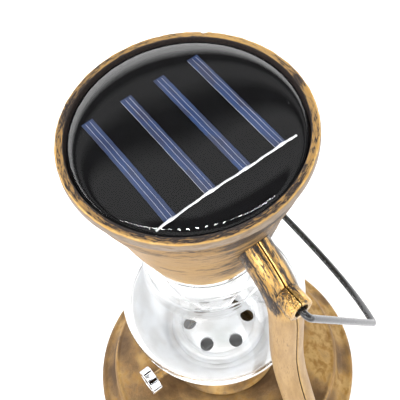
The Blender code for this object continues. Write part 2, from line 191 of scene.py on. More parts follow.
def full_turn(steps):
    """One row of equal steps round a circle, in radians."""
    return np.linspace(0, 2 * math.pi, steps, endpoint=False)[None, :]


def turn_grid(profile, steps, centre=(0.0, 0.0)):
    """A profile of (radius, height) turned about an upright axis: x = r cos a, y = r sin a, z = height."""
    angle = full_turn(steps)
    radius, height = profile[:, :1], profile[:, 1:]
    x = centre[0] + radius * np.cos(angle)
    y = centre[1] + radius * np.sin(angle)
    return np.stack([x, y, np.broadcast_to(height, x.shape)], axis=2)


def towards_front(grid, height):
    """A grid made along +Z, laid down to point along -Y at this height: (x, y, z) goes to (x, -z, y +
    height)."""
    return np.stack([grid[..., 0], -grid[..., 2], grid[..., 1] + height], axis=-1)


def turned(name, profile, steps, centre=(0.0, 0.0), sharp=40):
    """A turned piece. A profile that starts and ends on the axis is a solid, and any other closes on
    itself."""
    return skin(name, turn_grid(profile, steps, centre), profile[0][0] > 1e-6, sharp=sharp)


def points_of(piece):
    """The piece's points in millimetres, as one array."""
    found = np.empty(len(piece.data.vertices) * 3, np.float32)
    piece.data.vertices.foreach_get("co", found)
    return found.reshape(-1, 3).astype(float) / MM


def polar(piece):
    """Every point of a piece, with its distance from the upright axis and its direction in radians."""
    place = points_of(piece)
    return place, np.hypot(place[:, 0], place[:, 1]), np.arctan2(place[:, 1], place[:, 0])


def rod_outline(radius, low, high):
    """The profile of a plain rod or drill."""
    return outline([(0, low), (radius, low), (radius, high), (0, high)])


print("skin, turned and towards_front are ready")

# %% [markdown]
# ## Cutting
# Some holes cross a curved wall, and a grid can't hold them without bending its rows. A Boolean does it
# the way a drill would. Its result is written back into the mesh straight away, so no live modifier is
# left on a piece.


# %% Carve with other pieces
def carve(piece, tools, operation="DIFFERENCE"):
    """Apply Booleans with these tools in order, then remove the tools."""
    for tool in tools:
        change = piece.modifiers.new(tool.name, "BOOLEAN")
        change.operation = operation
        change.solver = "EXACT"
        change.object = tool
    graph = bpy.context.evaluated_depsgraph_get()
    mesh = bpy.data.meshes.new_from_object(piece.evaluated_get(graph))
    piece.modifiers.clear()
    piece.data = mesh
    for tool in tools:
        bpy.data.objects.remove(tool)


print("carve is ready")

# %% [markdown]
# ## Building materials from nodes
# Each finish is a small network. A few helpers keep the cells short: they add a node with its values, do
# arithmetic, mix two colours, turn a value into a soft step, and feed the shader. Every finish is kept in
# FINISH under its own name.

# %% Node helpers
FINISH = {}


def put(tree, kind, sockets=None, **settings):
    """Add a node. A socket takes a number, a colour or another node's output."""
    made = tree.nodes.new(kind)
    for key, value in settings.items():
        setattr(made, key, value)
    for key, value in (sockets or {}).items():
        if isinstance(value, bpy.types.NodeSocket):
            tree.links.new(value, made.inputs[key])
        else:
            made.inputs[key].default_value = value
    return made


def calc(tree, operation, first, second=0.0):
    return put(tree, "ShaderNodeMath", {0: first, 1: second}, operation=operation).outputs[0]


def weighed(tree, base, *terms, clamp=False):
    """A base plus each term's value times its weight. clamp keeps the sum between 0 and 1."""
    for value, weight in terms:
        sockets = {0: value, 1: weight, 2: base}
        base = put(tree, "ShaderNodeMath", sockets, operation="MULTIPLY_ADD", use_clamp=clamp).outputs[0]
    return base


def mixed(tree, share, first, second):
    """Two colours mixed by a share from 0 to 1."""
    sockets = {0: share, 6: first, 7: second}
    return put(tree, "ShaderNodeMix", sockets, data_type="RGBA", clamp_factor=True).outputs[2]


def step_up(tree, value, low, high, first=0.0, second=1.0):
    """A soft step: first below low, second above high, and an S-shaped rise between."""
    sockets = {"Value": value, "From Min": low, "From Max": high, "To Min": first, "To Max": second}
    return put(tree, "ShaderNodeMapRange", sockets, interpolation_type="SMOOTHSTEP").outputs[0]


def varied(tree, pattern, low, high, first, second):
    """Two shades of one coat: the first where a pattern is low, and the second where it is high."""
    return mixed(tree, step_up(tree, pattern, low, high), (*first, 1), (*second, 1))


def noise(tree, place, scale, detail=4.0, roughness=0.55, distortion=0.0):
    sockets = {"Vector": place, "Scale": scale, "Detail": detail, "Roughness": roughness}
    return put(tree, "ShaderNodeTexNoise", {**sockets, "Distortion": distortion}).outputs["Fac"]


def vector_math(tree, operation, first, second=(0.0, 0.0, 0.0)):
    return put(tree, "ShaderNodeVectorMath", {0: first, 1: second}, operation=operation).outputs


def object_mm(tree):
    """Where the surface is on the object, in millimetres."""
    place = put(tree, "ShaderNodeTexCoord").outputs["Object"]
    return vector_math(tree, "MULTIPLY", place, (1 / MM, 1 / MM, 1 / MM))[0]


def at_slant(tree):
    """0 where the surface faces the eye, rising to 1 where it is seen edge on."""
    return put(tree, "ShaderNodeLayerWeight", {"Blend": 0.5}).outputs["Facing"]


def start_material(name, **plain):
    """A finish with one Principled shader, whose even values are set on its own sockets."""
    material = FINISH[name] = bpy.data.materials.new(name)
    material.use_nodes = True
    tree = material.node_tree
    shader = tree.nodes["Principled BSDF"]
    for key, value in plain.items():
        shader.inputs[key.replace("_", " ")].default_value = value
    return tree, shader


def surface(tree, shader, colour, roughness, height, depth_mm):
    """Feed the shader its colour, its roughness, and relief of this depth from a height between 0 and 1."""
    relief = put(tree, "ShaderNodeBump", {"Height": height, "Distance": depth_mm * MM, "Strength": 1.0})
    tree.links.new(colour, shader.inputs["Base Color"])
    tree.links.new(roughness, shader.inputs["Roughness"])
    tree.links.new(relief.outputs[0], shader.inputs["Normal"])


def overlay(tree, shader, share, colour):
    """Lay another colour over the one that the shader has, by a share from 0 to 1."""
    base = shader.inputs["Base Color"]
    tree.links.new(mixed(tree, share, base.links[0].from_socket, (*colour, 1)), base)


def start_group(name, inputs, outputs):
    """An empty node group with named inputs and outputs, each given as name: socket type."""
    group = bpy.data.node_groups.new(name, "ShaderNodeTree")
    for key, kind in inputs.items():
        group.interface.new_socket(key, in_out="INPUT", socket_type=kind)
    for key, kind in outputs.items():
        group.interface.new_socket(key, in_out="OUTPUT", socket_type=kind)
    return group, group.nodes.new("NodeGroupInput").outputs, group.nodes.new("NodeGroupOutput").inputs


FLOAT, COLOUR, VECTOR = "NodeSocketFloat", "NodeSocketColor", "NodeSocketVector"
print("node helpers are ready")

# %% [markdown]
# ## Antique bronze
# The real finish is black plastic, painted gold-tan and then rubbed with nearly dry black paint, so that
# dark strokes follow the brush: round the cap, down the arms, and in soft clouds on the base. An image
# could show that, but it would have a seam on every turned piece. Here each piece carries its own brush
# direction as a point attribute called grain, stretched along the stroke, and a second one called coat
# that says how dark, how golden and how glossy the paint is at each point. One node group turns them into
# colour and relief.

# %% The brushed paint group
PAINT, ENTER, LEAVE = start_group(
    "dry_brushed_paint",
    {"Grain": VECTOR, "Dark": FLOAT, "Gold": FLOAT, "Gloss": FLOAT, "Depth": FLOAT},
    {"Colour": COLOUR, "Metal": FLOAT, "Roughness": FLOAT, "Height": FLOAT},
)
strokes = noise(PAINT, ENTER["Grain"], 0.85, 7.0, 0.66, 0.35)
clouds = noise(PAINT, ENTER["Grain"], 0.16, 3.0, 0.5)
stipple = noise(PAINT, ENTER["Grain"], 4.2, 4.0, 0.7)

# Depth runs from 0, pale, through 0.5, tan, to 1, deep bronze with soft clouds
tanned = weighed(PAINT, 0.0, (ENTER["Depth"], 2.0), clamp=True)
soft = weighed(PAINT, -1.0, (ENTER["Depth"], 2.0), clamp=True)
pale = varied(PAINT, strokes, 0.35, 0.65, (0.20, 0.175, 0.153), (0.12, 0.102, 0.088))
tan = varied(PAINT, clouds, 0.35, 0.65, (0.23, 0.134, 0.050), (0.325, 0.205, 0.085))
deep = varied(PAINT, clouds, 0.35, 0.65, (0.095, 0.046, 0.013), (0.31, 0.168, 0.04))
gold = varied(PAINT, strokes, 0.38, 0.6, (0.44, 0.24, 0.055), (0.86, 0.58, 0.22))
brown = varied(PAINT, stipple, 0.4, 0.6, (0.11, 0.06, 0.026), (0.20, 0.12, 0.056))
black = varied(PAINT, stipple, 0.45, 0.65, (0.011, 0.010, 0.012), (0.07, 0.05, 0.036))
black = mixed(PAINT, soft, black, (0.052, 0.026, 0.010, 1))
tan = mixed(PAINT, soft, mixed(PAINT, tanned, pale, tan), deep)
paint = mixed(PAINT, ENTER["Gold"], tan, gold)

# Black paint covers what lies above a level, and brown smudges surround it
fine_share = weighed(PAINT, 0.62, (soft, -0.36))
wide_share = weighed(PAINT, 0.3, (soft, 0.42))
level = weighed(PAINT, -0.21, (strokes, fine_share), (clouds, wide_share), (stipple, 0.08))
level = weighed(PAINT, level, (ENTER["Dark"], 0.42))
cover = step_up(PAINT, level, weighed(PAINT, 0.545, (soft, -0.09)), weighed(PAINT, 0.6, (soft, 0.09)))
cover = calc(PAINT, "MULTIPLY", cover, weighed(PAINT, 1.0, (soft, -0.1)))
smudge = step_up(PAINT, level, 0.44, 0.56, 0.0, 0.75)
shine = weighed(PAINT, 0.12, (calc(PAINT, "MULTIPLY", ENTER["Gold"], ENTER["Gloss"]), 0.75))
for key, value in {
    "Colour": mixed(PAINT, cover, mixed(PAINT, smudge, paint, brown), black),
    "Metal": calc(PAINT, "MULTIPLY", shine, weighed(PAINT, 1.0, (cover, -0.85))),
    "Roughness": weighed(PAINT, 0.435, (ENTER["Gloss"], -0.34), (stipple, 0.25)),
    "Height": weighed(PAINT, 0.0, (strokes, 0.7), (cover, 0.25), (stipple, 0.1)),
}.items():
    PAINT.links.new(value, LEAVE[key])
print("group:", PAINT.name, "with", len(PAINT.nodes), "nodes")


# %% Antique bronze material
def antique_bronze():
    even = {"Coat_Weight": 0.06, "Coat_Roughness": 0.2, "Specular_IOR_Level": 0.12}
    tree, shader = start_material("antique_bronze", **even)
    grain = put(tree, "ShaderNodeAttribute", attribute_name="grain").outputs["Vector"]
    coat = put(tree, "ShaderNodeAttribute", attribute_name="coat").outputs
    share = put(tree, "ShaderNodeSeparateColor", {0: coat["Color"]}).outputs
    sockets = {"Grain": grain, "Dark": share[0], "Gold": share[1], "Gloss": share[2], "Depth": coat["Alpha"]}
    worn = put(tree, "ShaderNodeGroup", sockets, node_tree=PAINT).outputs
    tree.links.new(worn["Metal"], shader.inputs["Metallic"])
    surface(tree, shader, worn["Colour"], worn["Roughness"], worn["Height"], 0.16)


def add_attribute(piece, name, kind, field, values):
    """Store one value for each point of a piece."""
    layer = piece.data.attributes.new(name, kind, "POINT")
    layer.data.foreach_set(field, np.ascontiguousarray(values, np.float32).ravel())


def paint_coat(piece, grain, dark, gold, gloss, depth):
    """Store the brush direction, and the paint's share of dark, gold and gloss and its depth, at every
    point."""
    count = len(piece.data.vertices)
    shares = [np.broadcast_to(np.clip(value, 0, 2), count) for value in (dark, gold, gloss, depth)]
    add_attribute(piece, "grain", "FLOAT_VECTOR", "vector", grain)
    add_attribute(piece, "coat", "FLOAT_COLOR", "color", np.stack(shares, axis=1))


def round_grain(place, stretch):
    """Strokes that run round an upright axis: x and y are shortened, height and radius aren't."""
    reach = np.hypot(place[:, 0], place[:, 1])
    return np.stack([place[:, 0] / stretch, place[:, 1] / stretch, place[:, 2] + reach], axis=1)


def hump(value, middle, width):
    """A smooth bump that is 1 at its middle and falls away to about 0 at twice the width."""
    return np.exp(-(((value - middle) / width) ** 2))


def ease(value, low, high):
    """0 below low, 1 above high, and an S-shaped rise between."""
    t = np.clip((value - low) / (high - low), 0, 1)
    return t * t * (3 - 2 * t)


antique_bronze()
print("finish: antique bronze")

# %% [markdown]
# ## Clear plastic and resin
# The globe and lens are moulded clear plastic, and the panel lies under poured resin. Plain glass in a
# path tracer throws dark shadows, because a lamp's rays can't pass it. So rays that look for a lamp see a
# transparent shader, and all others see the glass. Faint waviness in the relief keeps the reflections
# from looking ideal.


# %% Clear materials
def clear_material(name, tint, edge, passed, index, wave_mm, scale, rough, haze):
    """tint is the colour seen square on, edge the colour at a slant, and passed what reaches a lamp's
    ray."""
    tree, shader = start_material(name, IOR=index, Transmission_Weight=1.0, Metallic=0.0)
    place = object_mm(tree)
    specks = step_up(tree, noise(tree, place, 1.3, 3.0, 0.6), 0.66, 0.78)
    darker = tuple(value * 0.975 for value in tint)
    body = mixed(tree, noise(tree, place, 0.05, 2.0), (*tint, 1), (*darker, 1))
    colour = mixed(tree, step_up(tree, at_slant(tree), 0.78, 1.0), body, (*edge, 1))
    waves = noise(tree, place, scale, 2.0, 0.4)
    surface(tree, shader, colour, weighed(tree, rough, (specks, haze)), waves, wave_mm)
    lamp_ray = put(tree, "ShaderNodeLightPath").outputs["Is Shadow Ray"]
    clear = put(tree, "ShaderNodeBsdfTransparent", {"Color": (*passed, 1)}).outputs[0]
    split = put(tree, "ShaderNodeMixShader", {0: lamp_ray, 1: shader.outputs[0], 2: clear})
    tree.links.new(split.outputs[0], tree.nodes["Material Output"].inputs["Surface"])


colours = (0.998, 1.0, 1.0), (0.40, 0.49, 0.48), (0.93, 0.94, 0.945)
clear_material("clear_plastic", *colours, 1.42, 0.03, 0.12, 0.012, 0.12)
colours = (0.97, 0.975, 0.98), (0.8, 0.82, 0.84), (0.9, 0.9, 0.92)
clear_material("clear_resin", *colours, 1.5, 0.02, 0.06, 0.0, 0.02)
print("finishes: clear plastic, clear resin")

# %% [markdown]
# ## Bright metal and metallised plastic
# The reflector bowl and its burner plate are plastic with a thin bright metal film, the thumbwheel is
# chromed, and the tabs, screws and contacts are tinned or zinc-plated. They share one recipe: full metal,
# a colour that shifts a little in clouds, fine scratches that change the roughness, and a shallow relief.


# %% Bright materials
def bright_material(name, light, shade, rough, spread, relief_mm, metal=1.0):
    tree, shader = start_material(name, Metallic=metal)
    place = object_mm(tree)
    clouds = noise(tree, place, 0.11, 3.0, 0.55)
    fine = noise(tree, place, 2.3, 5.0, 0.65)
    shades = varied(tree, clouds, 0.35, 0.65, light, shade)
    height = weighed(tree, 0.0, (clouds, 0.85), (fine, 0.15))
    surface(tree, shader, shades, weighed(tree, rough, (fine, spread)), height, relief_mm)
    return tree, shader


FILM_METAL = 0.72
FILM_R, BARE_R = 35.6, 36.4


def leave_back_white(tree, shader):
    """The film is only on the inside of the bowl. From FILM_R to BARE_R from the ball's centre it gives
    way to bare white plastic."""
    from_centre = vector_math(tree, "SUBTRACT", object_mm(tree), (0, 0, GLOBE_Z))[0]
    far = vector_math(tree, "LENGTH", from_centre)["Value"]
    overlay(tree, shader, step_up(tree, far, FILM_R, BARE_R), (0.9, 0.9, 0.9))
    tree.links.new(step_up(tree, far, FILM_R, BARE_R, FILM_METAL, 0.0), shader.inputs["Metallic"])


def paint_notch_shade(tree, shader):
    """Painted shade and a painted reflection of the bronze parts: the bottoms of the wheel's notches are made
    dark brown.
    """
    notch_shade = put(tree, "ShaderNodeAttribute", attribute_name="notch_shade").outputs["Fac"]
    notch_shade_level = calc(tree, "ADD", notch_shade, noise(tree, object_mm(tree), 2.0))
    # Painted shade and reflection: dark brown laid over the chrome in the notch floors.
    overlay(tree, shader, step_up(tree, notch_shade_level, 0.75, 1.15), (0.035, 0.022, 0.014))


silver = ("mirror_silver", (0.80, 0.815, 0.835), (0.70, 0.70, 0.70), 0.24, 0.16, 0.3, FILM_METAL)
leave_back_white(*bright_material(*silver))
paint_notch_shade(*bright_material("chrome", (0.86, 0.86, 0.87), (0.68, 0.69, 0.71), 0.08, 0.2, 0.12))
bright_material("tinned", (0.93, 0.93, 0.93), (0.74, 0.75, 0.77), 0.26, 0.3, 0.1)
bright_material("steel", (0.72, 0.71, 0.7), (0.55, 0.55, 0.56), 0.22, 0.3, 0.04)
print("finishes: mirror silver, chrome, tinned, steel")

# %% [markdown]
# ## Dark plastics, rubber, wire and boards
# These are plain moulded or coated surfaces that are never one flat colour: a moulding has a fine grain
# and faint flow clouds, plated wire has a slight ripple, rubber is open and dull, and a circuit board has
# copper under its lacquer. One recipe with its own colours, grain size and relief covers them.


# %% Coated materials
def coated_material(name, first, second, rough, scale, relief_mm, spread=0.15, **plain):
    tree, shader = start_material(name, Coat_Roughness=0.15, **plain)
    place = object_mm(tree)
    fine = noise(tree, place, scale, 4.0, 0.6)
    share = weighed(tree, 0.0, (noise(tree, place, 0.18, 4.0, 0.6), 0.6), (fine, 0.4))
    shades = varied(tree, share, 0.36, 0.64, first, second)
    surface(tree, shader, shades, weighed(tree, rough, (fine, spread)), fine, relief_mm)
    return tree, shader, place


matt, shiny = {"Specular_IOR_Level": 0.05}, {"Coat_Weight": 0.5}
coated_material("board_black", (0.0008, 0.0008, 0.001), (0.002, 0.002, 0.0025), 0.5, 0.4, 0.001, **matt)
coated_material("black_plastic", (0.016, 0.016, 0.017), (0.035, 0.034, 0.033), 0.42, 3.4, 0.05)
coated_material("rubber", (0.014, 0.014, 0.014), (0.04, 0.039, 0.037), 0.75, 2.2, 0.12)
coated_material("lead_red", (0.36, 0.02, 0.018), (0.55, 0.045, 0.035), 0.38, 1.6, 0.04)
coated_material("led_white", (0.93, 0.88, 0.62), (0.97, 0.95, 0.82), 0.12, 0.8, 0.02, **shiny)
print("finishes: black board, black plastic, rubber, lead, lamp lens")


# %% Wire, lacquered board and cell sleeve
def black_wire():
    """Black nickel on steel: nearly black when seen square on, with a light grey sheen painted into its
    colour at a slant.
    """
    colours = (0.036, 0.036, 0.037), (0.046, 0.046, 0.047)
    even = {"Coat_Weight": 0.3, "Metallic": 0.85}
    tree, shader, _ = coated_material("black_wire", *colours, 0.24, 0.5, 0.003, 0.06, **even)
    # Painted sheen: the colour turns light grey where the wire is seen at a slant.
    overlay(tree, shader, step_up(tree, at_slant(tree), 0.3, 0.62), (0.14, 0.14, 0.145))


def board_green():
    """Green lacquer over copper: a brick pattern of bands shows the tracks, and small rounds the pads."""
    colours = (0.012, 0.11, 0.04), (0.02, 0.19, 0.07)
    tree, shader, place = coated_material("board_green", *colours, 0.3, 2.4, 0.03, Coat_Weight=0.4)
    tracks = put(tree, "ShaderNodeTexBrick", {"Vector": place, "Scale": 0.32, "Mortar Size": 0.09})
    pads = put(tree, "ShaderNodeTexVoronoi", {"Vector": place, "Scale": 0.42, "Randomness": 0.35})
    overlay(tree, shader, tracks.outputs["Fac"], (0.05, 0.33, 0.13))
    overlay(tree, shader, step_up(tree, pads.outputs["Distance"], 0.16, 0.2, 1.0, 0.0), (0.75, 0.7, 0.55))


def cell_wrap():
    """A shrink sleeve in two colours with a bare band at each end of the cell, which lies along Y."""
    colours = (0.03, 0.22, 0.09), (0.05, 0.33, 0.13)
    tree, shader, place = coated_material("cell_wrap", *colours, 0.25, 1.8, 0.02, **shiny)
    along = put(tree, "ShaderNodeSeparateXYZ", {0: place}).outputs["Y"]
    bare = step_up(tree, calc(tree, "ABSOLUTE", along), 23.2, 23.6)
    overlay(tree, shader, step_up(tree, along, 11.6, 11.9), (0.72, 0.74, 0.72))
    overlay(tree, shader, bare, (0.6, 0.6, 0.6))
    tree.links.new(bare, shader.inputs["Metallic"])


black_wire()
board_green()
cell_wrap()
print("finishes: black nickel wire, green board, cell sleeve")

# %% [markdown]
# ## Blue solar cells
# The strips are cut from polycrystalline cells: blue crystals that catch the light differently, and hair-
# thin printed fingers that cross each strip. Voronoi cells give each crystal its own shade, and a fine
# sine wave along the strip draws the fingers. The wider conductors are modelled, because they stand above
# the surface.

# %% Solar cell material
FINGER_PITCH = 0.62


def solar_blue():
    tree, shader = start_material("solar_blue", Coat_Weight=0.3, Coat_Roughness=0.1)
    place = object_mm(tree)
    stretched = vector_math(tree, "MULTIPLY", place, (0.22, 1.0, 1.0))[0]
    crystals = put(tree, "ShaderNodeTexVoronoi", {"Vector": stretched, "Scale": 0.55}).outputs["Color"]
    shade = put(tree, "ShaderNodeSeparateColor", {0: crystals}).outputs[0]
    share = weighed(tree, 0.0, (shade, 0.45), (noise(tree, place, 0.07, 2.0), 0.7))
    blue = varied(tree, share, 0.25, 0.85, (0.0008, 0.004, 0.03), (0.005, 0.028, 0.105))
    along = put(tree, "ShaderNodeSeparateXYZ", {0: place}).outputs["X"]
    wave = calc(tree, "SINE", calc(tree, "MULTIPLY", along, 2 * math.pi / FINGER_PITCH))
    fingers = step_up(tree, wave, 0.55, 0.98, 0.0, 0.35)
    colour = mixed(tree, fingers, blue, (0.04, 0.075, 0.16, 1))
    roughness = weighed(tree, 0.22, (noise(tree, place, 3.0, 3.0), 0.2))
    surface(tree, shader, colour, roughness, weighed(tree, fingers, (shade, 0.3)), 0.02)
    tree.links.new(calc(tree, "MULTIPLY", shade, 0.3), shader.inputs["Metallic"])


solar_blue()
print("finish: solar blue")

# %% [markdown]
# ## Settling a piece
# Every new piece stands for one node of the frame. It takes that node's body, so that it moves with it,
# and that node's finish. Doing all of it in one call means that no piece can be left behind.


def settle(piece, node):
    """The piece stands for this node: same body, same finish."""
    finish_name = SLOT_OF[node]
    piece.data.materials.clear()
    piece.data.materials.append(FINISH[finish_name])
    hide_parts(node)
    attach(piece, NODES[node]["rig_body"])
    print(f"{piece.name}: {len(piece.data.polygons)} faces, for {node}")


# %% [markdown]
# ## Cap bell
# The cap is one moulding: a flat gold rim with a plain tan lip, a funnel that narrows to the globe's
# neck, and a recess for the panel. It could be lofted from circles, but a turned outline is how such a
# bell is designed. The outline goes down the outside, round the foot and up the inside.

# %% Cap bell
SHELF_Z = span("panel_board")[0][2] - 1.2
CAP_FOOT = span("cap_bell")[0][2]
cap_outline = outline(
    [(37.4, SHELF_Z), (37.4, RIM_TOP - 0.5)],
    arc((37.8, RIM_TOP - 0.4), 0.4, 180, 90, 5),
    arc((RIM_RADIUS - 0.9, RIM_TOP - 0.9), 0.9, 90, 0, 8),
    arc((RIM_RADIUS - 0.6, 187.1), 0.6, 0, -80, 6),
    [(39.1, 186.35), (38.9, 186.2)],
    smooth_run([(38.75, 185.6), (38.1, 181.6), (37.1, 177.4), (34.6, 170.2), (31.8, 162.0), (29.7, 154.0)]),
    smooth_run([(29.7, 154.0), (27.4, 146.0), (25.1, 139.0), (23.6, 134.4), (23.0, CAP_FOOT + 0.4)]),
    arc((22.6, CAP_FOOT + 0.4), 0.4, 0, -90, 4),
    arc((21.8, CAP_FOOT + 0.4), 0.4, -90, -180, 4),
    smooth_run([(21.4, 133.0), (23.3, 139.4), (25.6, 146.2), (27.9, 154.2), (30.0, 162.4), (32.9, 170.8)]),
    smooth_run([(32.9, 170.8), (35.0, 178.0), (35.2, SHELF_Z - 0.1)]),
    [(35.2, SHELF_Z)],
)
bell = turned("lantern_cap", cap_outline, 288)
CHIP_AT = math.radians(136)
SOLID_DARK = 1.9


def uneven_rim(piece):
    """The lip's outer edge is knocked a little: a sum of sines of the angle, felt only near the top edge,
    and one small chip. Each point moves in by that much."""
    place, reach, angle = polar(piece)
    near_top = ease(place[:, 2], RIM_TOP - 1.6, RIM_TOP - 0.3) * ease(reach, 38.6, 39.6)
    waves = np.sin(23 * angle + 1) + np.sin(41 * angle + 2)
    waves += 0.7 * np.sin(67 * angle) + 0.5 * np.sin(97 * angle)
    chip = hump(angle, CHIP_AT, 0.02)
    inward = near_top * (0.045 * (waves + 2) + 0.4 * chip)
    place[:, :2] *= (1 - inward / reach)[:, None]
    place[:, 2] -= 0.35 * near_top * chip
    piece.data.vertices.foreach_set("co", (place * MM).astype(np.float32).ravel())
    piece.data.update()


def apart(turn, place):
    """How far two directions are apart, in degrees from -180 to 180."""
    return (turn - place + 180) % 360 - 180


def coat_of_cap(piece):
    """Gold on the rim's flat top with dark worn patches and a painted highlight along its rounded outer edge,
    a plain tan lip, black in the recess, and a tan funnel whose strokes are densest by the arms and absent at
    its foot."""
    place, reach, angle = polar(piece)
    height, turn = place[:, 2], np.degrees(angle)
    top = ease(height, RIM_TOP - 0.55, RIM_TOP - 0.2)
    lip = ease(height, 185.9, 186.5) * (1 - top)
    cone = (1 - top) * (1 - lip)
    inside = (1 - ease(reach, 37.42, 37.75)) * ease(height, SHELF_Z - 0.2, SHELF_Z)
    # Painted highlight along the rim's rounded outer edge: there the paint is less dark and more golden.
    edge = hump(reach, RIM_RADIUS - 0.35, 0.35)
    patches = 0.6 - 0.3 * edge
    for direction, width, darker in ((-10, 26, 0.2), (-140, 38, 0.12), (80, 4, 0.25), (120, 30, -0.1)):
        patches += darker * hump(apart(turn, direction), 0, width)
    patches += 0.2 * hump(apart(turn, -58), 0, 26) * (1 - ease(reach, 38.7, 39.3))
    by_arm = np.exp(-(((np.abs(np.cos(angle)) - 1) / 0.1) ** 2))
    beside = np.minimum(np.abs(apart(turn, 0)), np.abs(apart(turn, 180)))
    cone_dark = 0.44 + 0.1 * by_arm + 0.12 * hump(beside, 0, 45) + 0.12 * hump(height, 182, 4)
    cone_dark = (cone_dark + 0.05 * np.sin(3 * angle)) * ease(height, 134.5, 143)
    dark = np.where(inside > 0.5, SOLID_DARK, top * patches + lip * 0.3 + cone * cone_dark)
    gold = top * (0.45 + 0.3 * edge) + cone * (0.12 + 0.3 * by_arm)
    depth = 0.5 - 0.38 * lip + 0.06 * cone * ease(height, 150, 180)
    grain = round_grain(place, 6.0) * (1.9 + 0.9 * top)[:, None]
    paint_coat(piece, grain, dark, gold, 0.25 + 0.15 * top, depth)


uneven_rim(bell)
coat_of_cap(bell)
settle(bell, "cap_bell")

# %% [markdown]
# ## Solar panel
# Under the resin lies a black board with four blue strips, cut by hand from larger cells, so their edges
# are a little ragged. A tinned ribbon joins them. A flat box would do for size, but the ragged edge and
# the uneven ribbon are what the eye catches, so each is a slab whose width and thickness change along its
# length.


# %% Slabs with uneven edges
def slab_grid(along, low, high, bottom, top):
    """A slab along X: at each place along it, a rounded rectangle from low to high in Y and bottom to top
    in Z. Each of the four is one number or one for each place."""
    low, high, bottom, top = (np.broadcast_to(value, along.shape) for value in (low, high, bottom, top))
    corner = 0.06
    y = np.stack([low + corner, high - corner, high, high, high - corner, low + corner, low, low], axis=1)
    rise = np.array([0, 0, corner, 1, 1, 1, 1, corner])
    z = bottom[:, None] + (top - bottom)[:, None] * np.clip(rise, 0, 1)
    z[:, [3, 6]] -= corner / 2
    x = np.broadcast_to(along[:, None], y.shape)
    return np.stack([x, y, z], axis=2)


def ragged(along, seed, size):
    """A jagged line: sines of unlike lengths with a few sharper nicks, all from a fixed seed."""
    draw = np.random.default_rng(seed)
    waves = sum(np.sin(along * draw.uniform(0.4, 5.0) + draw.uniform(0, 6)) for _ in range(6)) / 6
    nicks = sum(hump(along, draw.uniform(along[0], along[-1]), 0.35) for _ in range(5))
    return size * (0.6 * waves + 0.9 * nicks)


LINE_HALF, LINE_RISE = 0.035, 0.03
LINES_ON_STRIP = {1: (-0.75, 0.75), 2: (-1.9, -0.35, 1.05), 3: (-0.75, 0.75), 4: (-1.9, -0.2, 1.15)}
for number, lines in LINES_ON_STRIP.items():
    low, high = span(f"solar_strip_{number}")
    along = np.linspace(low[0], high[0], 150)
    left = low[1] + ragged(along, number, 0.12) + 0.08
    right = high[1] - ragged(along, number + 10, 0.12) - 0.08
    strip = slab_grid(along, left, right, low[2], high[2])
    settle(skin(f"blue_cell_{number}", strip, capped=True), f"solar_strip_{number}")
    on_strip = along[2:-1]
    for place, offset in enumerate(lines, start=1):
        centre = (low[1] + high[1]) / 2 + offset + 0.03 * np.sin(on_strip * 0.5 + number)
        edges = centre - LINE_HALF, centre + LINE_HALF
        grid = slab_grid(on_strip, *edges, high[2] - 0.02, high[2] + LINE_RISE)
        line = skin(f"cell_{number}_conductor_{place}", grid, capped=True)
        line.data.materials.append(FINISH["tinned"])
        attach(line, "lantern")
print("strips carry", sum(len(lines) for lines in LINES_ON_STRIP.values()), "printed conductors")

# %% Tab ribbon
low, high = span("tab_ribbon")
along = np.linspace(low[1], high[1], 260)
middle = (low[0] + high[0]) / 2 + 0.12 * np.sin(along * 0.21) + 0.06 * np.sin(along * 0.9)
blobs = sum(hump(along, sum(span(f"solar_strip_{k}"))[1] / 2, 1.5) for k in (1, 2, 3, 4))
half = 0.33 + 0.1 * ragged(along, 3, 1.0) + 0.22 * blobs
thick = 0.2 + 0.06 * blobs + 0.03 * np.sin(along * 2.3)
grid = slab_grid(along, middle - half, middle + half, low[2], low[2] + thick)
ribbon = skin("tab_strip", grid[..., [1, 0, 2]], capped=True)
settle(ribbon, "tab_ribbon")

# %% Panel board
board_low = span("panel_board")[0][2]
board_outline = outline(
    [(0, board_low), (BOARD_RADIUS - 0.15, board_low), (BOARD_RADIUS, board_low + 0.15)],
    [(BOARD_RADIUS, BOARD_TOP - 0.15), (BOARD_RADIUS - 0.15, BOARD_TOP), (0, BOARD_TOP)],
)
settle(turned("panel_backing", board_outline, 192), "panel_board")

# %% [markdown]
# ## Resin dome
# The resin was poured until it stood above its edge, so surface tension gave it a nearly flat middle and
# a tight round shoulder. That shoulder bends the studio into a bright crescent and a dark line, so its
# curve matters more than any texture. Its underside reaches just into the board, as a casting wets what
# it covers.

# %% Resin dome
DOME_TOP = span("panel_resin_dome")[1][2] + 0.5
DOME_TILT = [
    (36.3, 26.0), (35.5, 20.0), (34.5, 14.5), (33.0, 9.5), (31.0, 6.5), (28.5, 4.3),
    (25.0, 2.6), (20.0, 1.3), (12.0, 0.6), (0.0, 0.0),
]  # fmt: skip
dome_r = np.linspace(0, DOME_TILT[0][0], 90)
dome_tilt = np.radians(np.interp(dome_r, *zip(*DOME_TILT[::-1])))
dome_drop = np.concatenate([[0], np.cumsum(np.tan(dome_tilt[1:] + dome_tilt[:-1]) / 2 * np.diff(dome_r))])
dome_line = np.stack([dome_r, DOME_TOP - dome_drop], axis=1)[::-1]
POUR_R = 36.6
dome_edge = dome_line[0, 1]
resin_outline = outline(
    [(0, BOARD_TOP - 0.08), (POUR_R - 0.15, BOARD_TOP - 0.08), (POUR_R, BOARD_TOP + 0.1)],
    smooth_run([(POUR_R, 186.6), (POUR_R, dome_edge - 0.5), (36.52, dome_edge - 0.18), dome_line[0]], 5),
    dome_line,
)
settle(turned("resin_pour", resin_outline, 256, sharp=60), "panel_resin_dome")

# %% [markdown]
# ## Globe and lens cup
# The globe is a thin clear ball with an open foot and a straight neck that slips into the cap. The lens
# cup hangs from the same neck and spreads the lamp's light. Both are walls with an inside and an outside,
# because light bends at each surface: a single skin would look like a soap film, and a solid like a
# marble.

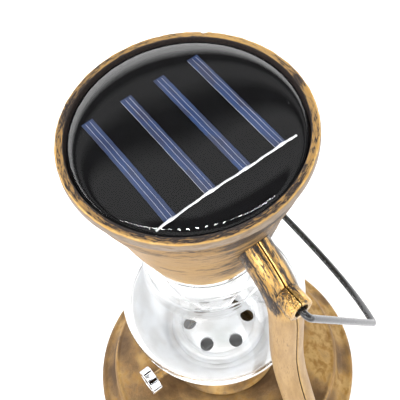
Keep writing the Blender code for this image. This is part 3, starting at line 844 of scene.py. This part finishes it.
# %% Globe
GLOBE_WALL = 1.3
globe_outline = outline(
    arc((0, GLOBE_Z), GLOBE_R, -8.6, 48.0, 40),
    smooth_run([(24.05, 110.3), (23.6, 111.8), (23.4, 113.6), (23.4, 118.0)], 6),
    [(23.4, 131.9), (23.1, 132.2), (20.9, 132.2), (20.8, 132.4), (20.8, 140.4), (20.6, 140.6)],
    [(19.5, 140.6), (19.4, 140.4), (19.4, 131.6), (17.0, 131.6), (17.0, 130.3), (21.9, 130.2), (22.1, 129.9)],
    smooth_run([(22.1, 118.0), (22.1, 113.4), (22.3, 111.9), (22.75, 110.2)], 6),
    arc((0, GLOBE_Z), GLOBE_R - GLOBE_WALL, 49.2, -8.6, 40),
)
settle(turned("clear_globe", globe_outline, 224), "globe")

# %% Lens cup
LENS_R = 12.2
cup_low = span("lens_cup")[0][2]
cup_top = span("lens_cup")[1][2]
lens_outline = outline(
    [(0, cup_low), (9.6, cup_low)],
    arc((LENS_R - 2.2, cup_low + 2.2), 2.2, -90, 0, 8),
    [(LENS_R, cup_low + 6), (LENS_R, cup_top - 1.3), (18.8, cup_top - 1.3), (19.0, cup_top - 1.1)],
    [(19.0, cup_top - 0.2), (18.8, cup_top), (11.2, cup_top), (11.0, cup_top - 0.2), (11.0, cup_low + 6)],
    arc((LENS_R - 2.4, cup_low + 2.5), 1.2, 0, -90, 6),
    [(0, cup_low + 1.3)],
)
settle(turned("lens_tube", lens_outline, 128), "lens_cup")

# %% [markdown]
# ## Reflector bowl and burner plate
# The lower half of the ball is a bright saucer that throws the light upwards. A dished plate with a
# raised ring and six holes sits on its floor, like the burner of an oil lantern. The bowl follows the
# globe's own circle, so the two read as one ball. The holes are drilled through the finished plate.

# %% Reflector bowl
BOWL_RIM_ANGLE = -8.7
BOWL_WALL = 2.0
bowl_outline = outline(
    [(16.9, 53.0), (23.6, 53.0)],
    arc((0, GLOBE_Z), GLOBE_R, -48.4, BOWL_RIM_ANGLE, 30),
    arc((0, GLOBE_Z), GLOBE_R - BOWL_WALL, BOWL_RIM_ANGLE - 0.3, -47.0, 30),
    smooth_run([(23.4, 55.4), (22.4, 54.5), (21.2, 54.2)], 4),
    [(16.9, 54.2)],
)
settle(turned("bright_bowl", bowl_outline, 224), "reflector_bowl")

# %% Burner plate
BURNER_Z = span("burner_dome")[1][2] - 0.5
plate_outline = outline(
    smooth_run([(0, BURNER_Z), (8.0, BURNER_Z - 0.4), (13.2, BURNER_Z - 1.4), (15.3, 55.0), (16.2, 56.2)], 6),
    arc((18.3, 55.9), 1.6, 160, 10, 12),
    [(20.4, 54.5), (19.3, 54.5)],
    smooth_run([(19.3, 54.5), (18.8, 55.6), (18.0, 56.2), (17.1, 55.6), (16.2, 53.9)], 4),
    smooth_run([(16.2, 53.9), (13.2, 54.5), (8.0, 55.5), (0, 55.9)], 5),
)
plate = turned("burner_plate", plate_outline, 192)
HOLE_CIRCLE, HOLE_R, HOLES = 12.5, 2.9, 6
drills = []
for number in range(HOLES):
    angle = 2 * math.pi * number / HOLES
    spot = (HOLE_CIRCLE * math.cos(angle), HOLE_CIRCLE * math.sin(angle))
    drills.append(turned(f"drill_{number}", rod_outline(HOLE_R, 50.0, 60.0), 40, spot))
carve(plate, drills)
face_outwards(plate.data)
settle(plate, "burner_dome")

# %% [markdown]
# ## Lamp
# A clear-topped light-emitting diode shines down into the lens cup. It shows as a pale bead through the
# cup, so a turned shape with a domed lens and a flange is enough.

# %% Lamp bead
lamp_outline = outline(
    arc((0, 129.1), 2.5, -90, 0, 12),
    [(2.5, 133.4), (2.9, 133.4), (2.9, 134.2), (0, 134.2)],
)
settle(turned("lamp_bead", lamp_outline, 48), "led_emitter")

# %% [markdown]
# ## Base and burner collar
# The base is a stepped tank with a wide flange, as an oil lantern has, and the collar stands on it like a
# burner's gallery. Both are turned. Their paint is browner and softer than the cap's, in blurred dark
# clouds, with a lighter worn line where the tank's shoulder turns over.

# %% Collar and base
collar_outline = outline(
    [(18.2, 51.2), (23.2, 51.2)],
    arc((23.2, 50.6), 0.6, 90, -60, 8),
    smooth_run([(23.2, 49.9), (21.4, 49.4), (20.5, 48.4), (20.4, 47.0)], 5),
    [(20.4, 41.0)],
    smooth_run([(20.4, 40.0), (21.2, 37.6), (22.0, 35.0), (24.3, 33.2)], 5),
    arc((24.0, 31.9), 1.0, 60, -90, 8),
    [(24.0, 30.7), (18.2, 30.7)],
)
collar = turned("gallery_collar", collar_outline, 192)
BUSH_HOLE_R = 4.1
hole_grid = towards_front(turn_grid(rod_outline(BUSH_HOLE_R, 14.0, 24.0), 48), KNOB_Z)
carve(collar, [skin("bush_drill", hole_grid)])
face_outwards(collar.data)

base_outline = outline(
    [(17.2, 30.2)],
    smooth_run([(22.0, 30.1), (26.0, 29.8), (33.0, 28.2), (40.0, 25.0), (45.5, 21.8), (49.0, 19.6)]),
    smooth_run(
        [(49.0, 19.6), (50.3, 19.1), (51.2, 18.3), (51.6, 17.0), (51.8, 14.5), (53.0, 10.5), (55.0, 7.9)]
    ),
    smooth_run([(55.0, 7.9), (57.0, 6.7), (58.8, 6.05), (59.7, 5.2), (FOOT_RADIUS, 4.0), (FOOT_RADIUS, 0.5)]),
    [(FOOT_RADIUS - 0.3, 0.0), (55.6, 0.0), (55.6, 2.6), (53.6, 2.6)],
    smooth_run([(53.6, 2.6), (53.0, 6.0), (50.6, 10.5), (49.4, 16.6), (44.0, 20.2), (38.8, 23.2)], 4),
    smooth_run([(38.8, 23.2), (32.5, 26.2), (25.6, 27.9), (17.2, 28.3)], 4),
)
base = turned("flanged_base", base_outline, 288)


def coat_of_base(piece):
    """Brown-gold with soft clouds, darker in the step, with painted shade towards the collar under the bowl,
    and lighter on the shoulder's edge.
    """
    place, reach, angle = polar(piece)
    shoulder = hump(reach, 51.0, 0.7) * ease(place[:, 2], 15.5, 17.5)
    step = hump(reach, 53.2, 1.2)
    dark = 0.5 + 0.1 * np.sin(3 * angle + 1) + 0.08 * np.sin(7 * angle) + 0.12 * step - 0.25 * shoulder
    # Painted shade: the tank top grows darker towards the collar, under the bowl.
    dark += 0.12 * (1 - ease(reach, 24, 38))
    paint_coat(piece, round_grain(place, 1.6) * 0.5, dark, 0.3 - 0.3 * shoulder, 0.25, 1.0 - 0.3 * shoulder)


coat_of_base(base)
paint_coat(collar, round_grain(points_of(collar), 3.0), 0.6, 0.4, 0.3, 0.9)
settle(base, "base_shell")
settle(collar, "burner_collar")

# %% [markdown]
# ## Thumbwheel
# The wheel that raises the wick on an oil lantern is here the switch. It is chromed, with eight notches
# in its rim, on a thin bronze shaft in a bush. The notches could be cut, but a wheel whose radius dips by
# a smooth function of the angle needs no cutting and keeps its rounded edges.

# %% Wheel, shaft and bush
WHEEL_NOTCHES = 8
NOTCH_TURN, NOTCH_DEPTH = 0.35, 1.3
low, high = span("knob_wheel")
WHEEL_R = (high[0] - low[0]) / 2 - 0.25
WHEEL_BACK, WHEEL_FACE = -high[1] + 0.2, -low[1] - 0.4
edge = np.array([(-0.5, 0.0), (-0.1, 0.1), (0.0, 0.5)])
wheel_outline = outline(
    [(0, WHEEL_BACK + 0.4), (2.2, WHEEL_BACK + 0.4), (2.2, WHEEL_BACK), (5.2, WHEEL_BACK)],
    smooth_run((WHEEL_R, WHEEL_BACK) + edge, 3),
    smooth_run((WHEEL_R, WHEEL_FACE) + edge[::-1] * (1, -1), 3),
    [(4.2, WHEEL_FACE), (3.9, WHEEL_FACE - 0.35), (1.5, WHEEL_FACE - 0.35), (0, WHEEL_FACE - 0.25)],
)
wheel_grid = turn_grid(wheel_outline, 256)
phase = (full_turn(256) * WHEEL_NOTCHES / (2 * math.pi) - NOTCH_TURN + 0.5) % 1 - 0.5
dip = NOTCH_DEPTH * np.exp(-((phase / 0.11) ** 6))
reach = np.hypot(wheel_grid[..., 0], wheel_grid[..., 1])
shrink = 1 - dip * ease(reach, 4.2, 5.2) / np.maximum(reach, 1)
wheel_grid[..., :2] *= shrink[..., None]
wheel = skin("thumbwheel", towards_front(wheel_grid, KNOB_Z))
place = points_of(wheel)
from_axis = np.hypot(place[:, 0], place[:, 2] - KNOB_Z)
# Painted shade: the notch floors, between the wheel's two faces, are marked to be darkened.
notch_shade = 1 - ease(from_axis, WHEEL_R - 0.9, WHEEL_R - 0.3)
notch_shade *= ease(-place[:, 1], WHEEL_BACK + 0.1, WHEEL_BACK + 0.5)
notch_shade *= ease(place[:, 1], 0.1 - WHEEL_FACE, 0.5 - WHEEL_FACE)
add_attribute(wheel, "notch_shade", "FLOAT", "value", notch_shade)
settle(wheel, "knob_wheel")

shaft_low, shaft_high = span("knob_shaft")
shaft_outline = outline(
    [(0, -shaft_high[1]), (1.8, -shaft_high[1]), (2.0, 0.2 - shaft_high[1])],
    [(2.0, -shaft_low[1] - 0.2), (1.8, -shaft_low[1]), (0, -shaft_low[1])],
)
shaft = skin("wheel_shaft", towards_front(turn_grid(shaft_outline, 48), KNOB_Z))
bush_outline = outline(
    [(2.35, 16.8), (3.7, 16.8), (3.7, 20.9), (4.5, 20.9), (4.7, 21.1), (4.7, 22.0)],
    smooth_run([(4.7, 22.0), (4.4, 22.5), (3.7, 23.4), (3.2, 23.6)], 3),
    [(2.35, 23.6)],
)
bush = skin("shaft_gland", towards_front(turn_grid(bush_outline, 64), KNOB_Z), closed_along=True)
for piece, node in ((shaft, "knob_shaft"), (bush, "shaft_bush")):
    paint_coat(piece, points_of(piece) * 0.8, 0.45, 0.6, 0.5, 0.8)
    settle(piece, node)

# %% [markdown]
# ## Arms
# Each arm is two thin half shells that meet in the arm's own plane, with a round boss where the bail
# turns. The dark joint between them, with its bright worn lips, is the arm's main feature. A half ring
# with rounded lips is carried along the arm's centre line, and the boss is a second half ring that joins
# it in a union. The far ends are then trimmed to the cap and to the tank, as a moulded saddle would be.

# %% Arm centre line
ARM_LINE = [
    (24.5, 164.2), (28.5, 162.0), (33.0, 159.8), (38.0, 156.9), (42.6, 152.6), (45.6, 147.0),
    (46.7, 140.0), (46.7, 125.0), (46.7, 110.0), (48.4, 95.0), (52.2, 80.0), (56.4, 65.0),
    (57.4, 52.0), (55.4, 40.0), (51.2, 30.0), (47.6, 23.5), (45.4, 19.5),
]  # fmt: skip
ARM_TOP_R, ARM_FOOT_R = 5.9, 5.5
ARM_WALL = 1.4
ARM_GAP = 0.17
LIP = 0.45
BOSS_START, BOSS_END, BOSS_R = 47.0, 54.2, 4.5
BORE_R = 2.65
arm_path = smooth_run(ARM_LINE, 8)
path_steps = np.linalg.norm(np.diff(arm_path, axis=0), axis=1)
arm_length = np.concatenate([[0], np.cumsum(path_steps)])
slope = np.gradient(arm_path, axis=0)
slope /= np.linalg.norm(slope, axis=1)[:, None]
print(f"arm centre line: {arm_length[-1]:.0f} mm in {len(arm_path)} points")


# %% Half shells
def half_ring(outer, inner, gap, lip):
    """A closed C as (across, aside) points: the outer arc, a rounded lip, the inner arc back, and a
    rounded lip. Angles run from 0 to half a turn, and gap keeps it clear of the joint plane."""
    start = (gap + lip) / outer
    arc_angle = np.linspace(start, math.pi - start, 26)
    outside = np.stack([outer * np.cos(arc_angle), outer * np.sin(arc_angle)], axis=1)
    back_angle = np.linspace(math.pi - gap / inner, gap / inner, 16)
    inside = np.stack([inner * np.cos(back_angle), inner * np.sin(back_angle)], axis=1)
    left = smooth_run([(-outer + 0.02, gap + lip), (-outer + 0.16, gap + 0.12), (-outer + 0.5, gap)], 3)
    right = left[::-1] * (-1, 1)
    return np.vstack([outside, left, inside, right])


def half_shell(name, side, turn):
    """The half ring carried along the centre line. side is 1 for +Y and -1 for -Y, and turn is 1 for the
    arm on +X and -1 for the one on -X. The radius swells slightly beside the boss and towards the cap."""
    radius = ARM_TOP_R + (ARM_FOOT_R - ARM_TOP_R) * arm_length / arm_length[-1]
    radius += 0.35 * hump(arm_path[:, 1], PIVOT_Z, 6.0) + 1.9 * (1 - ease(arm_length, 0, 20))
    section = half_ring(ARM_TOP_R, ARM_TOP_R - ARM_WALL, ARM_GAP, LIP)
    across = section[:, 0][None, :] * (radius / ARM_TOP_R)[:, None]
    aside = np.broadcast_to(section[:, 1][None, :], across.shape)
    outward = np.stack([-slope[:, 1], slope[:, 0]], axis=1)
    x = arm_path[:, :1] + outward[:, :1] * across
    z = arm_path[:, 1:] + outward[:, 1:] * across
    return skin(name, np.stack([x * turn, aside * side, z], axis=2), capped=True)


def half_boss(name, side, turn):
    """Half a round boss along X: a half disc whose edge is rounded at its outer end, closed on the joint
    plane."""
    ring_r = np.array([BOSS_R, BOSS_R, BOSS_R - 0.1, BOSS_R - 0.55])
    ring_x = np.array([BOSS_START, BOSS_END - 0.75, BOSS_END - 0.25, BOSS_END])
    angle = np.linspace(0, math.pi, 30)[None, :]
    gap = ARM_GAP + 0.03
    x = np.broadcast_to(ring_x[:, None], (4, 30)) * turn
    y = (gap + (ring_r[:, None] - gap) * np.sin(angle)) * side
    z = PIVOT_Z + ring_r[:, None] * np.cos(angle)
    return skin(name, np.stack([x, y, z], axis=2), capped=True)


def bore_drill(turn):
    """A rod along X through the boss, a little longer than it at both ends."""
    grid = turn_grid(rod_outline(BORE_R, BOSS_START - 3.0, BOSS_END + 2.8), 48)
    return skin("bore", np.stack([grid[..., 2] * turn, grid[..., 1], grid[..., 0] + PIVOT_Z], axis=-1))


def trim_tools():
    """Solids a little larger than the cap and the tank, which leave the arm's ends fitting them."""
    cap_side = cap_outline[cap_outline[:, 1] > CAP_FOOT + 0.5]
    cap_side = cap_side[: np.argmin(cap_side[:, 1]) + 1][2:]
    above, below = RIM_TOP + 5, 120.0
    cap_space = outline([(0, above), (37.8, above)], cap_side + (0.12, 0), [(23.0, below), (0, below)])
    tank_side = base_outline[: np.argmax(base_outline[:, 0]) + 1][1:]
    tank_space = outline([(0, 30.4)], tank_side + (0.08, 0.12), [(FOOT_RADIUS, -5.0), (0, -5.0)])
    return turned("cap_space", cap_space, 160), turned("tank_space", tank_space, 160)


def coat_of_arm(piece, turn):
    """The strokes run along the arm. The top half is golden with heavy dark streaks and painted shade towards
    the shells' sides, and below the boss the paint is a smoother pinkish tan. The lips of the joint are worn
    bright, and the joint itself is dark."""
    place = points_of(piece)
    flat = np.stack([place[:, 0] * turn, place[:, 2]], axis=1)
    nearest = 2 * ((flat[:, None, :] - arm_path[None, ::2, :]) ** 2).sum(axis=2).argmin(axis=1)
    away = flat - arm_path[nearest]
    # The part of the step along the arm is added, so that the streaks have no jumps
    along = arm_length[nearest] + (away * slope[nearest]).sum(axis=1)
    across = away[:, 1] * slope[nearest, 0] - away[:, 0] * slope[nearest, 1]
    aside = place[:, 1]
    reach = np.hypot(across, aside)
    upper = ease(place[:, 2], 143, 151)
    inside = 1 - ease(reach, 4.6, 5.0)
    lip = (1 - ease(np.abs(aside), 0.35, 0.75)) * ease(reach, 5.2, 5.5)
    edge = hump(np.abs(aside), 5.2, 0.9)
    # Painted shade: on the top half each shell grows darker towards its side, away from its bright middle.
    dark = 0.3 + 0.3 * upper + 0.05 * np.sin(along * 0.3) + 0.16 * edge * upper
    dark += 0.16 * hump(np.abs(aside), 1.6, 0.6) * upper - 0.4 * lip
    dark -= 0.26 * ease(flat[:, 0], 48.5, 50.0) * hump(place[:, 2], PIVOT_Z + 1.5, 4.5)
    dark = np.where((inside > 0.5) | (np.abs(aside) < ARM_GAP + 0.02), SOLID_DARK, dark)
    gold = 0.08 + 0.87 * upper + 0.2 * lip
    grain = np.stack([across * 2.3, aside * 2.3, along / 2.2 + turn * 40], axis=1)
    depth = 0.42 + 0.5 * ease(-place[:, 2], -75, -25)
    paint_coat(piece, grain, dark, gold, 0.3 + 0.7 * upper, depth)


for place_name, turn in (("east", 1), ("west", -1)):
    for face_name, side in (("front", -1), ("back", 1)):
        shell = half_shell(f"arm_shell_{place_name}_{face_name}", side, turn)
        carve(shell, [half_boss("boss", side, turn)], "UNION")
        carve(shell, [*trim_tools(), bore_drill(turn)])
        face_outwards(shell.data, 30)
        coat_of_arm(shell, turn)
        settle(shell, f"arm_{place_name}_{face_name}")

# %% [markdown]
# ## Bail
# The carrying wire is one piece of steel under black nickel, with its ends bent into the bosses. It hangs
# from them towards the back, in a plane of its own. A curve object with a bevel would draw it, and a
# circle carried along the line does the same and leaves a mesh. Corners are small arcs, since a wire
# can't fold.

# %% Bail wire
WIRE_R = 1.25
BAIL_LEAN = math.radians(36.5)
TIP_X, LEG_X, CORNER_X = 48.3, 57.4, 59.7
REACH, RISE, SPLAY = 60.6, 11.6, 0.0475
ARCH_HALF = 57.6
NEARLY_STRAIGHT = math.radians(80)
ARCH_STEPS = 14


def fillet(points, radius, steps=7):
    """A chain of points in a plane with each corner made an arc that touches both its sides."""
    made = [points[:1]]
    for before, corner, after in zip(points, points[1:], points[2:]):
        back = (before - corner) / np.linalg.norm(before - corner)
        ahead = (after - corner) / np.linalg.norm(after - corner)
        half = math.acos(np.clip(back @ ahead, -1, 1)) / 2
        if half > NEARLY_STRAIGHT:
            made.append(corner[None])
            continue
        middle = (back + ahead) / np.linalg.norm(back + ahead)
        centre = corner + middle * radius / math.sin(half)
        first = (corner + back * radius / math.tan(half) - centre) / radius
        last = (corner + ahead * radius / math.tan(half) - centre) / radius
        turn = math.acos(np.clip(first @ last, -1, 1))
        t = np.linspace(0, 1, steps)[:, None]
        swing = (np.sin((1 - t) * turn) * first + np.sin(t * turn) * last) / math.sin(turn)
        made.append(centre + radius * swing)
    return np.vstack([*made, points[-1:]])


arch_x = CORNER_X * (1 - np.linspace(0, 1, ARCH_STEPS) ** 0.9)
arch_drop = REACH - RISE * (arch_x / ARCH_HALF) ** 3
half_line = np.vstack([[(TIP_X, 0), (LEG_X, 0)], np.stack([arch_x, -arch_drop], axis=1)])
half_line[2, 0] = LEG_X + SPLAY * arch_drop[0]
half_line = fillet(half_line, 2.2)
half_line = np.vstack([half_line[:-ARCH_STEPS], smooth_run(half_line[-ARCH_STEPS:], 4)])
bail_line = np.vstack([half_line, (half_line[::-1] * (-1, 1))[1:]])
bail_slope = np.gradient(bail_line, axis=0)
bail_slope /= np.linalg.norm(bail_slope, axis=1)[:, None]
bail_normal = np.stack([-bail_slope[:, 1], bail_slope[:, 0]], axis=1)
size = np.full((len(bail_line), 1), WIRE_R)
size[[0, -1]] = WIRE_R * 0.75
in_plane, off_plane = np.cos(full_turn(24)) * size, np.sin(full_turn(24)) * size
x = bail_line[:, :1] + bail_normal[:, :1] * in_plane
down = bail_line[:, 1:] + bail_normal[:, 1:] * in_plane
y = off_plane * math.cos(BAIL_LEAN) - down * math.sin(BAIL_LEAN)
z = off_plane * math.sin(BAIL_LEAN) + down * math.cos(BAIL_LEAN) + PIVOT_Z
settle(skin("bail_wire", np.stack([x, y, z], axis=2), capped=True), "bail")

# %% [markdown]
# ## Pieces that stay as designed
# The battery, boards, leads, screws and the bottom cover are right as the frame has them, and mostly
# hidden. They keep their meshes and only take their finishes.

# %% Dress the carried pieces
kept = [name for name in sorted(NODES) if not NODES[name].hide_render]
for name in kept:
    NODES[name].material_slots[0].material = FINISH[SLOT_OF[name]]
print("kept as designed:", ", ".join(kept))

# %% [markdown]
# ## Studio
# The lantern stands in a light tent: a white floor that is lit until it has no tone of its own, bright
# walls near the horizon, and a darker roof. The walls are what the resin's shoulder shows as a pale
# crescent, and a row of small lamps in the roof gives its dotted highlight. The broad roof lamp is kept
# out of reflections, so that they show only the tent, the front lamp and the row.

# %% Floor and tent
floor_mesh = bpy.data.meshes.new("studio_floor")
FLOOR_HALF = 3.0
corners = [(-1, -1), (1, -1), (1, 1), (-1, 1)]
floor_mesh.from_pydata([(x * FLOOR_HALF, y * FLOOR_HALF, 0.0) for x, y in corners], [], [(0, 1, 2, 3)])
floor = bpy.data.objects.new("studio_floor", floor_mesh)
bpy.context.scene.collection.objects.link(floor)
paper_tree, paper_shader = start_material("white_paper", Roughness=0.9, Emission_Strength=0.3)
fibre = noise(paper_tree, put(paper_tree, "ShaderNodeTexCoord").outputs["Object"], 300.0, 3.0)
paper_colour = mixed(paper_tree, fibre, (0.88, 0.88, 0.885, 1), (0.93, 0.93, 0.93, 1))
paper_tree.links.new(paper_colour, paper_shader.inputs["Base Color"])
paper_tree.links.new(paper_colour, paper_shader.inputs["Emission Color"])
floor_mesh.materials.append(FINISH["white_paper"])

world = bpy.data.worlds.new("light_tent")
bpy.context.scene.world = world
world.use_nodes = True
sky = world.node_tree
TENT_BANDS = [
    (0, 1.4), (12, 3.7), (31, 3.7), (38.5, 0.1), (41.5, 0.1), (44, 0.5), (47, 0.5), (50, 0.08),
    (52, 0.08), (55, 0.62), (70, 0.65), (75, 0.1), (90, 0.1),
]  # fmt: skip
TENT_BRIGHTEST = 4.0
TENT_LEANS_TO = (0.473, 0.881, 0.0)
LEAN_SHARE = 0.25
facing = put(sky, "ShaderNodeTexCoord").outputs["Generated"]
rise = put(sky, "ShaderNodeSeparateXYZ", {0: facing}).outputs["Z"]
towards = vector_math(sky, "DOT_PRODUCT", facing, TENT_LEANS_TO)["Value"]
leaning = weighed(sky, rise, (calc(sky, "MAXIMUM", towards, 0.0), LEAN_SHARE))
ramp = put(sky, "ShaderNodeValToRGB", {0: leaning})
stops = ramp.color_ramp.elements
stops.remove(stops[0])
for number, (degrees, level) in enumerate(TENT_BANDS):
    rise = math.sin(math.radians(degrees))
    stop = stops[0] if number == 0 else stops.new(rise)
    stop.position = rise
    stop.color = (*[level / TENT_BRIGHTEST] * 3, 1)
strength = calc(sky, "MULTIPLY", ramp.outputs[0], TENT_BRIGHTEST)
sky.links.new(strength, sky.nodes["Background"].inputs["Strength"])
sky.nodes["Background"].inputs["Color"].default_value = (1.0, 1.0, 1.0, 1)
print("floor and tent are up")


# %% Lamps
def lamp(name, place, energy, size, seen=True):
    """A round lamp that shines at the lantern's middle. seen lets it show in reflections."""
    light = bpy.data.lights.new(name, "AREA")
    light.energy = energy
    light.shape = "DISK"
    light.size = size
    holder = bpy.data.objects.new(name, light)
    holder.location = place
    aim = LANTERN_MIDDLE - Vector(place)
    holder.rotation_euler = aim.to_track_quat("-Z", "Y").to_euler()
    holder.visible_glossy = seen
    bpy.context.scene.collection.objects.link(holder)
    return holder


LANTERN_MIDDLE = Vector((0.0, 0.0, 0.1))
lamp("roof_lamp", (0.1, -0.1, 1.1), 4.2, 0.9, seen=False)
lamp("front_lamp", (0.5, -0.7, 0.7), 2.8, 0.35)
BEADS = 26
BEAD_WIDE, BEAD_LONG = 0.012, 0.06
ROW_MIDDLE = np.array([0.06, -0.035, 0.8])
ROW_HALF = np.array([0.213, 0.396, 0.0])
ROW_TURN = math.atan2(ROW_HALF[1], ROW_HALF[0])
for number in range(BEADS):
    share = 2 * number / (BEADS - 1) - 1
    bead = lamp(f"bead_{number}", tuple(ROW_MIDDLE + ROW_HALF * share), 0.09, BEAD_WIDE)
    bead.rotation_euler = (0, 0, ROW_TURN)
    bead.data.shape = "ELLIPSE"
    bead.data.size_y = BEAD_LONG
print("lamps:", 2 + BEADS)

# %% [markdown]
# ## Camera
# The view looks down on the panel from the front right, close enough for the cap to look much larger than
# the base. A lens of about 77 mm on a full frame gives that mix. The camera is aimed at a point on the
# lantern's axis and then rolled a little, as a hand-held camera is.

# %% Camera
CAMERA_PLACE = Vector((0.14019, -0.07454, 0.39269))
CAMERA_LOOK = Vector((-0.48301, 0.25949, -0.83628))
CAMERA_ROLL = math.radians(9.499)
camera_data = bpy.data.cameras.new("camera")
camera_data.sensor_width = 36.0
camera_data.lens = 77.05
camera_data.clip_start = 0.01
camera = bpy.data.objects.new("camera", camera_data)
aimed = CAMERA_LOOK.to_track_quat("-Z", "Y").to_matrix().to_4x4()
camera.matrix_world = Matrix.Translation(CAMERA_PLACE) @ aimed @ Matrix.Rotation(-CAMERA_ROLL, 4, "Z")
bpy.context.scene.collection.objects.link(camera)
bpy.context.scene.camera = camera
bpy.context.scene.view_settings.view_transform = "Standard"
print("camera is", round(CAMERA_PLACE.length, 3), "m from the origin")
